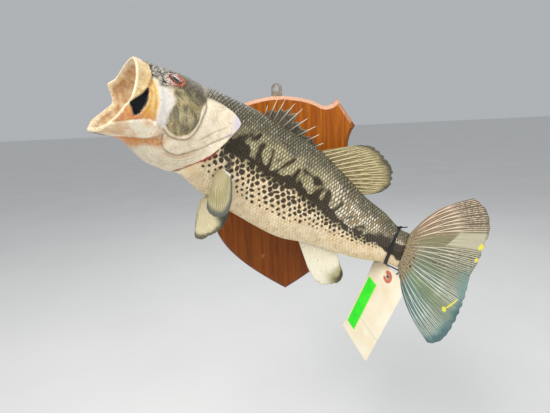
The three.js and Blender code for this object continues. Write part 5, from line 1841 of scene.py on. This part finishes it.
# %% Plates cut from an outline with holes
def cut_plate(name, outlines, place, thick, finish, soft=0.15):
    """A plate from an outer outline and its holes; place turns (a, b, height) into a point."""
    loops = [np.asarray(o, float) for o in outlines]
    fill = tessellate_polygon([[Vector((x, y, 0.0)) for x, y in loop] for loop in loops])
    levels = [(soft, 0.0), (0.0, soft), (0.0, thick - soft), (soft, thick)]
    points = []
    total = sum(len(loop) for loop in loops)
    for inset, height in levels:
        for k, loop in enumerate(loops):
            turned = np.sum(loop[:, 0] * np.roll(loop[:, 1], -1) - loop[:, 1] * np.roll(loop[:, 0], -1))
            way = 1 if (turned > 0) == (k == 0) else -1
            drawn = loop + corner_normals(loop)[0] * way * inset
            points.append(place(drawn[:, 0], drawn[:, 1], height))
    points = np.concatenate(points)
    faces = []
    for a, b, c in fill:
        faces += [[c, b, a], [a + 3 * total, b + 3 * total, c + 3 * total]]
    for level in range(3):
        start = level * total
        for loop in loops:
            n = len(loop)
            for i in range(n):
                j = (i + 1) % n
                faces.append([start + i, start + j, start + total + j, start + total + i])
            start += n
    piece = make_piece(name, points, faces, finish, smooth_shaded=False)
    face_outwards(piece)
    return piece


def arc(x, y, radius, start, end, steps=24):
    angles = np.radians(np.linspace(start, end, steps))
    return np.stack([x + radius * np.cos(angles), y + radius * np.sin(angles)], axis=-1)

# %% The hanger plate
metal = Finish("dull plated steel")
metal_soft = metal.cloud(140.0, 4.0, 0.6)
metal_grit = metal.cloud(900.0, 2.0)
metal_colour = metal_soft.rise(0.35, 0.65).mix(tint(150, 142, 126), tint(186, 178, 160))
rust = metal.cloud(260.0, 4.0, 0.7).rise(0.56, 0.66)
metal_colour = (rust * 0.7).mix(metal_colour, tint(122, 84, 56))
metal.wear(Base_Color=metal_colour, Roughness=(metal_grit + rust * 0.5).rise(0.2, 1.0, 0.32, 0.6),
           Metallic=0.85 - rust * 0.6, Normal=metal.relief(metal_grit, 0.0002, 0.5))
HANGER_TOP = 165.5
HANGER_HALF = 8.2
HANGER_FOOT = 138.0


def in_wall(x, z, height):
    """The plane of the wall, heights counted from just inside the back of the board."""
    return np.stack([x, np.zeros_like(x) - 0.3 - height, z], axis=-1)


def hanger_outline(grow):
    half = HANGER_HALF + grow
    foot = HANGER_FOOT - grow
    return np.concatenate([[(half, foot)], arc(0, HANGER_TOP, half, 0, 180), [(-half, foot)]])

keyhole = np.concatenate([arc(0, HANGER_TOP, 3.9, 113, 427, 26), arc(0, HANGER_TOP + 5.1, 1.5, 0, 180, 9)])
hanger = cut_plate("hanger_keyhole", [hanger_outline(0), keyhole], in_wall, 1.5, metal.material)
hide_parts("hanger_plate")
print("hanger:", len(hanger.data.polygons), "faces")

# %% [markdown]
# ## Tie and tags
# A black strap is drawn round the tail stalk and knotted on top, and a tag of manila card hangs from
# it with a reinforcing patch round its eyelet and a sticker down one side. A second, paler card hangs
# behind. The stickers and cards are bare: no maker, number or writing is on them.

# %% A round cord through a row of points
def cord(points, radius, steps=40, around=10, squash=1.0):
    """Points and faces of a cord along a smooth line, with closed ends."""
    corners = np.asarray(points, float)
    line = []
    for k in range(3):
        keys = np.stack([np.arange(len(corners), dtype=float), corners[:, k]], axis=-1)
        line.append(np.interp(np.linspace(0, len(corners) - 1, steps), *rounded_line(keys, steps=16).T))
    line = np.stack(line, axis=-1)
    along = unit(np.gradient(line, axis=0))
    guide = np.array([0.31, 0.83, 0.46])
    one = unit(np.cross(along, guide))
    two = np.cross(along, one)
    spin = np.radians(np.arange(around) * 360 / around)
    ring = one[:, None] * np.cos(spin)[:, None] + two[:, None] * np.sin(spin)[:, None] * squash
    made = line[:, None] + ring * radius
    return made.reshape(-1, 3), tube_faces(steps, around)

# %% The band of the strap
strap = Finish("black strap")
weave_place = strap.stretched((900.0, 900.0, 900.0))
weave = strap.node("ShaderNodeTexChecker", None, {"Vector": weave_place, "Scale": 1.0}, out=1)
lint = strap.cloud(500.0, 3.0, 0.7)
strap_colour = lint.rise(0.5, 0.75).mix(tint(10, 10, 12), tint(44, 44, 48))
strap_gloss = lint.rise(0.3, 0.7, 0.32, 0.55)
strap_bump = strap.relief(weave * 0.3 + lint, 0.0003, 0.5)
strap.wear(Base_Color=strap_colour, Roughness=strap_gloss, Normal=strap_bump)
TIE_AT = 429.0
TIE_HALF = 2.1


def strap_ring():
    """A band with rounded edges, a little nearer the head at its foot than its top."""
    turn = np.linspace(0, 360, 121)[:-1][:, None]
    spin = np.radians(np.arange(0, 360, 30))[None, :]
    side = np.sign(np.cos(spin)) * np.abs(np.cos(spin)) ** 0.5
    lift = np.sign(np.sin(spin)) * np.abs(np.sin(spin)) ** 0.7
    pinch = 1 - 0.25 * np.exp(-(((turn + 180) % 360 - 180) / 30.0) ** 2)
    lean = (1 - np.cos(np.radians(turn))) / 2
    at = TIE_AT + TIE_HALF * side * pinch + lean + 0.25 * roughly(91, turn / 25.0) * np.ones_like(side)
    grow = 1.05 + 0.62 * lift + 0.12 * np.cos(turn / 6.0)
    return on_body(at, turn + 0 * at, grow)

# %% Strap, knot and the cord to the card
ring = strap_ring()
ring_faces = [list(f) for f in grid_faces(120, 12, True)]
ring_faces += [[119 * 12 + j, 119 * 12 + (j + 1) % 12, (j + 1) % 12, j] for j in range(12)]
tie_points = [ring.reshape(-1, 3)]
tie_faces = list(ring_faces)
knot_at = on_body(TIE_AT, 6.0, 2.4)
foot = on_body(TIE_AT + 1, 172.0, 1.2)
EYELET = np.array([151.0, -90.0, -107.6])
card_down = unit(np.array([-44.8, 28.0, -121.3]))
card_across = np.array([26.4, -64.0, -21.7])
card_across = unit(card_across - card_down * (card_across @ card_down))
card_face = unit(np.cross(card_down, card_across))
card_face = card_face * (-1 if card_face[1] > 0 else 1)


def off(height, lift):
    """A point by the eyelet, off the card's face and up from the eyelet."""
    return EYELET + card_face * height - card_down * lift

# Each run of cord: its points, its radius and how flat it is. The first three start at the knot.
KNOT_RUNS = [
    ([(-1, 0, -1.5), (0, -0.6, 0.8), (1.8, -1.2, 1.2), (1.6, 0.6, -0.6)], 1.35, 0.8),
    ([(0, 0, 0), (4, -1, 0.2), (7, -2.4, 1.0), (9.6, -3.2, 1.3)], 0.95, 0.6),
    ([(0, 0, 0), (-3.0, -2.2, 0.8), (-3.6, 0.6, 1.2), (-0.4, 1.4, 0.4)], 0.8, 0.7),
]
runs = [(knot_at + line, size, squash) for line, size, squash in KNOT_RUNS]
runs.append(([foot, off(-14, 11), off(-9, 2), off(-4, 0), off(2.4, 0)], 0.95, 1.0))
for line, size, squash in runs:
    points, faces = cord(line, size, squash=squash)
    first = sum(len(p) for p in tie_points)
    tie_points.append(points)
    tie_faces += [[i + first for i in f] for f in faces]
tie = make_piece("strap_and_knot", np.concatenate(tie_points), tie_faces, strap.material)
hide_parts("tail_tie")
print("strap round the stalk:", len(tie.data.polygons), "faces")

# %% [markdown]
# ## Card, patch and sticker
# Card is matt and slightly furry, softer and darker where it has been handled and creased. The crease
# and the stains are noise laid in the card's own directions.

# %% Directions of the card, for shapes and for paint
def on_card(base, swing=0.0):
    """Places (a, b, height) in the card's plane, turned about its eyelet."""
    turn_a, turn_b = np.cos(swing), np.sin(swing)

    def place(a, b, height):
        right = a * turn_a - b * turn_b
        above = a * turn_b + b * turn_a
        flat = right[:, None] * card_across - above[:, None] * card_down
        return EYELET + flat + card_face * (base + height)
    return place


def card_outline(left, right, length, top, left_cut, cut=17.0):
    corners = [(left, top - length), (right, top - length), (right, top - cut), (right - cut, top),
               (left + left_cut, top), (left, top - left_cut)]
    line = []
    for a, b in zip(corners, corners[1:] + corners[:1]):
        steps = np.linspace(0, 1, 12)[:-1, None]
        line.append(np.array(a) + (np.array(b) - np.array(a)) * steps)
    return np.concatenate(line)

# %% The finish of card, and both cards
def card_finish(name, light, mid, stain, crease):
    made = Finish(name)
    fibre = made.cloud(1400.0, 3.0, 0.7)
    soft = made.cloud(34.0, 4.0, 0.6)
    handled = made.cloud(16.0, 2.0, 0.5).rise(0.42, 0.66)
    colour = soft.rise(0.3, 0.7).mix(light, mid)
    colour = (handled * 0.22).mix(colour, stain)
    colour = (fibre.rise(0.6, 0.75) * 0.25).mix(colour, stain)
    down = made.painted("down")
    fold = 1 - made.bent("ABSOLUTE", down - crease).rise(0.0, 0.02)
    colour = (fold * 0.35).mix(colour, stain)
    relief = made.relief(fibre * 0.4 + soft - fold, 0.0005, 0.6)
    made.wear(Base_Color=colour, Roughness=fibre.rise(0.3, 0.7, 0.7, 0.9), Normal=relief)
    return made.material

CARD_HALF = 36.5
hole = arc(0, 0, 3.4, 0, 345, 24)
manila = card_finish("manila card", tint(250, 242, 220), tint(244, 230, 196), tint(214, 188, 144), 0.62)
pale_card = card_finish("pale card", tint(232, 230, 222), tint(214, 212, 202), tint(182, 176, 160), 0.4)


def lay_card(name, node, outline, base, swing, finish, length):
    card = cut_plate(name, [outline, hole], on_card(base, swing), 0.9, finish, 0.2)
    points = np.array([v.co for v in card.data.vertices]) / MM
    paint_on(card, "down", (points - EYELET) @ card_down / length)
    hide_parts(node)
    return card

lay_card("manila_tag", "tag_card", card_outline(-CARD_HALF, CARD_HALF, 146, 13, 17), -0.45, 0.0, manila, 146)
lay_card("pale_tag", "tag_card_rear", card_outline(-42, 20, 100, 7.5, 3), -4.0, 0.07, pale_card, 100)

# %% The worn patch round the eyelet
patch_finish = Finish("terracotta patch")
worn = patch_finish.cloud(240.0, 4.0, 0.7).rise(0.54, 0.6)
round_place = patch_finish.painted("round")
gone = round_place.rise(0.80, 0.84)
patch_grain = patch_finish.cloud(900.0)
patch_colour = patch_grain.rise(0.3, 0.7).mix(tint(190, 92, 68), tint(214, 126, 98))
patch_colour = (worn * 0.35).mix(patch_colour, tint(228, 190, 156))
patch_colour = gone.mix(patch_colour, tint(238, 222, 188))
patch_rough = patch_grain.rise(0.3, 0.7, 0.65, 0.85)
patch_bump = patch_finish.relief(patch_grain, 0.0002, 0.5)
patch_finish.wear(Base_Color=patch_colour, Roughness=patch_rough, Normal=patch_bump)
PATCH_RING = [arc(0, 0, 9.0, 0, 352, 45), arc(0, 0, 3.8, 0, 345, 24)]
patch = cut_plate("eyelet_patch", PATCH_RING, on_card(0.55), 0.45, patch_finish.material)
flat_points = np.array([v.co for v in patch.data.vertices]) / MM - EYELET
left_of = -(flat_points @ card_across)
paint_on(patch, "round", left_of / (np.linalg.norm(flat_points, axis=1) + 1e-9))
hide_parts("tag_patch")

# %% The green sticker, with its paler border
sticker_finish = Finish("fluorescent sticker")
inset = sticker_finish.painted("inset")
ink = sticker_finish.cloud(60.0, 3.0, 0.6)
green = ink.rise(0.3, 0.7).mix(tint(24, 228, 16), tint(60, 244, 40))
green = (1 - inset.rise(0.8, 1.2)).mix(green, tint(196, 240, 120))
sticker_rough = ink.rise(0.3, 0.7, 0.42, 0.58)
sticker_finish.wear(Base_Color=green, Roughness=sticker_rough, Normal=sticker_finish.relief(ink, 0.0003, 0.4))


STICKER_LEFT, STICKER_RIGHT = -33, -11
STICKER_TOP, STICKER_FOOT = -25, -117
MARGIN = np.array([0, 0.4, 0.8, 1.2])


def sheet_lines(start, stop, count):
    """Places of grid lines from start to stop, close together at both margins."""
    return np.concatenate([start + MARGIN, np.linspace(start + 2, stop - 2, count), (stop - MARGIN)[::-1]])


def sticker_sheet():
    """A grid over the sticker with its distance in from the margin, and its thickness."""
    across = sheet_lines(STICKER_LEFT, STICKER_RIGHT, 10)
    down = -sheet_lines(-STICKER_TOP, -STICKER_FOOT, 40)
    a, b = np.meshgrid(across, down, indexing="ij")
    from_side = np.minimum(a - STICKER_LEFT, STICKER_RIGHT - a)
    inset = np.minimum(from_side, np.minimum(STICKER_TOP - b, b - STICKER_FOOT))
    curl = 0.12 * roughly(77, a / 9, b / 14) * ease(inset, 0, 3)
    place = on_card(0.0)
    top = place(a.ravel(), b.ravel(), (0.95 + curl * 0.5).ravel()[:, None])
    under = place(a.ravel(), b.ravel(), np.full((a.size, 1), 0.55))
    return np.concatenate([top, under]), sheet_faces(*a.shape), np.concatenate([inset.ravel()] * 2)

points, faces, insets = sticker_sheet()
sticker = make_piece("green_sticker", points, faces, sticker_finish.material)
paint_on(sticker, "inset", insets)
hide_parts("tag_sticker")
print("sticker margin runs from", float(insets.min()), "to", float(insets.max()), "mm")
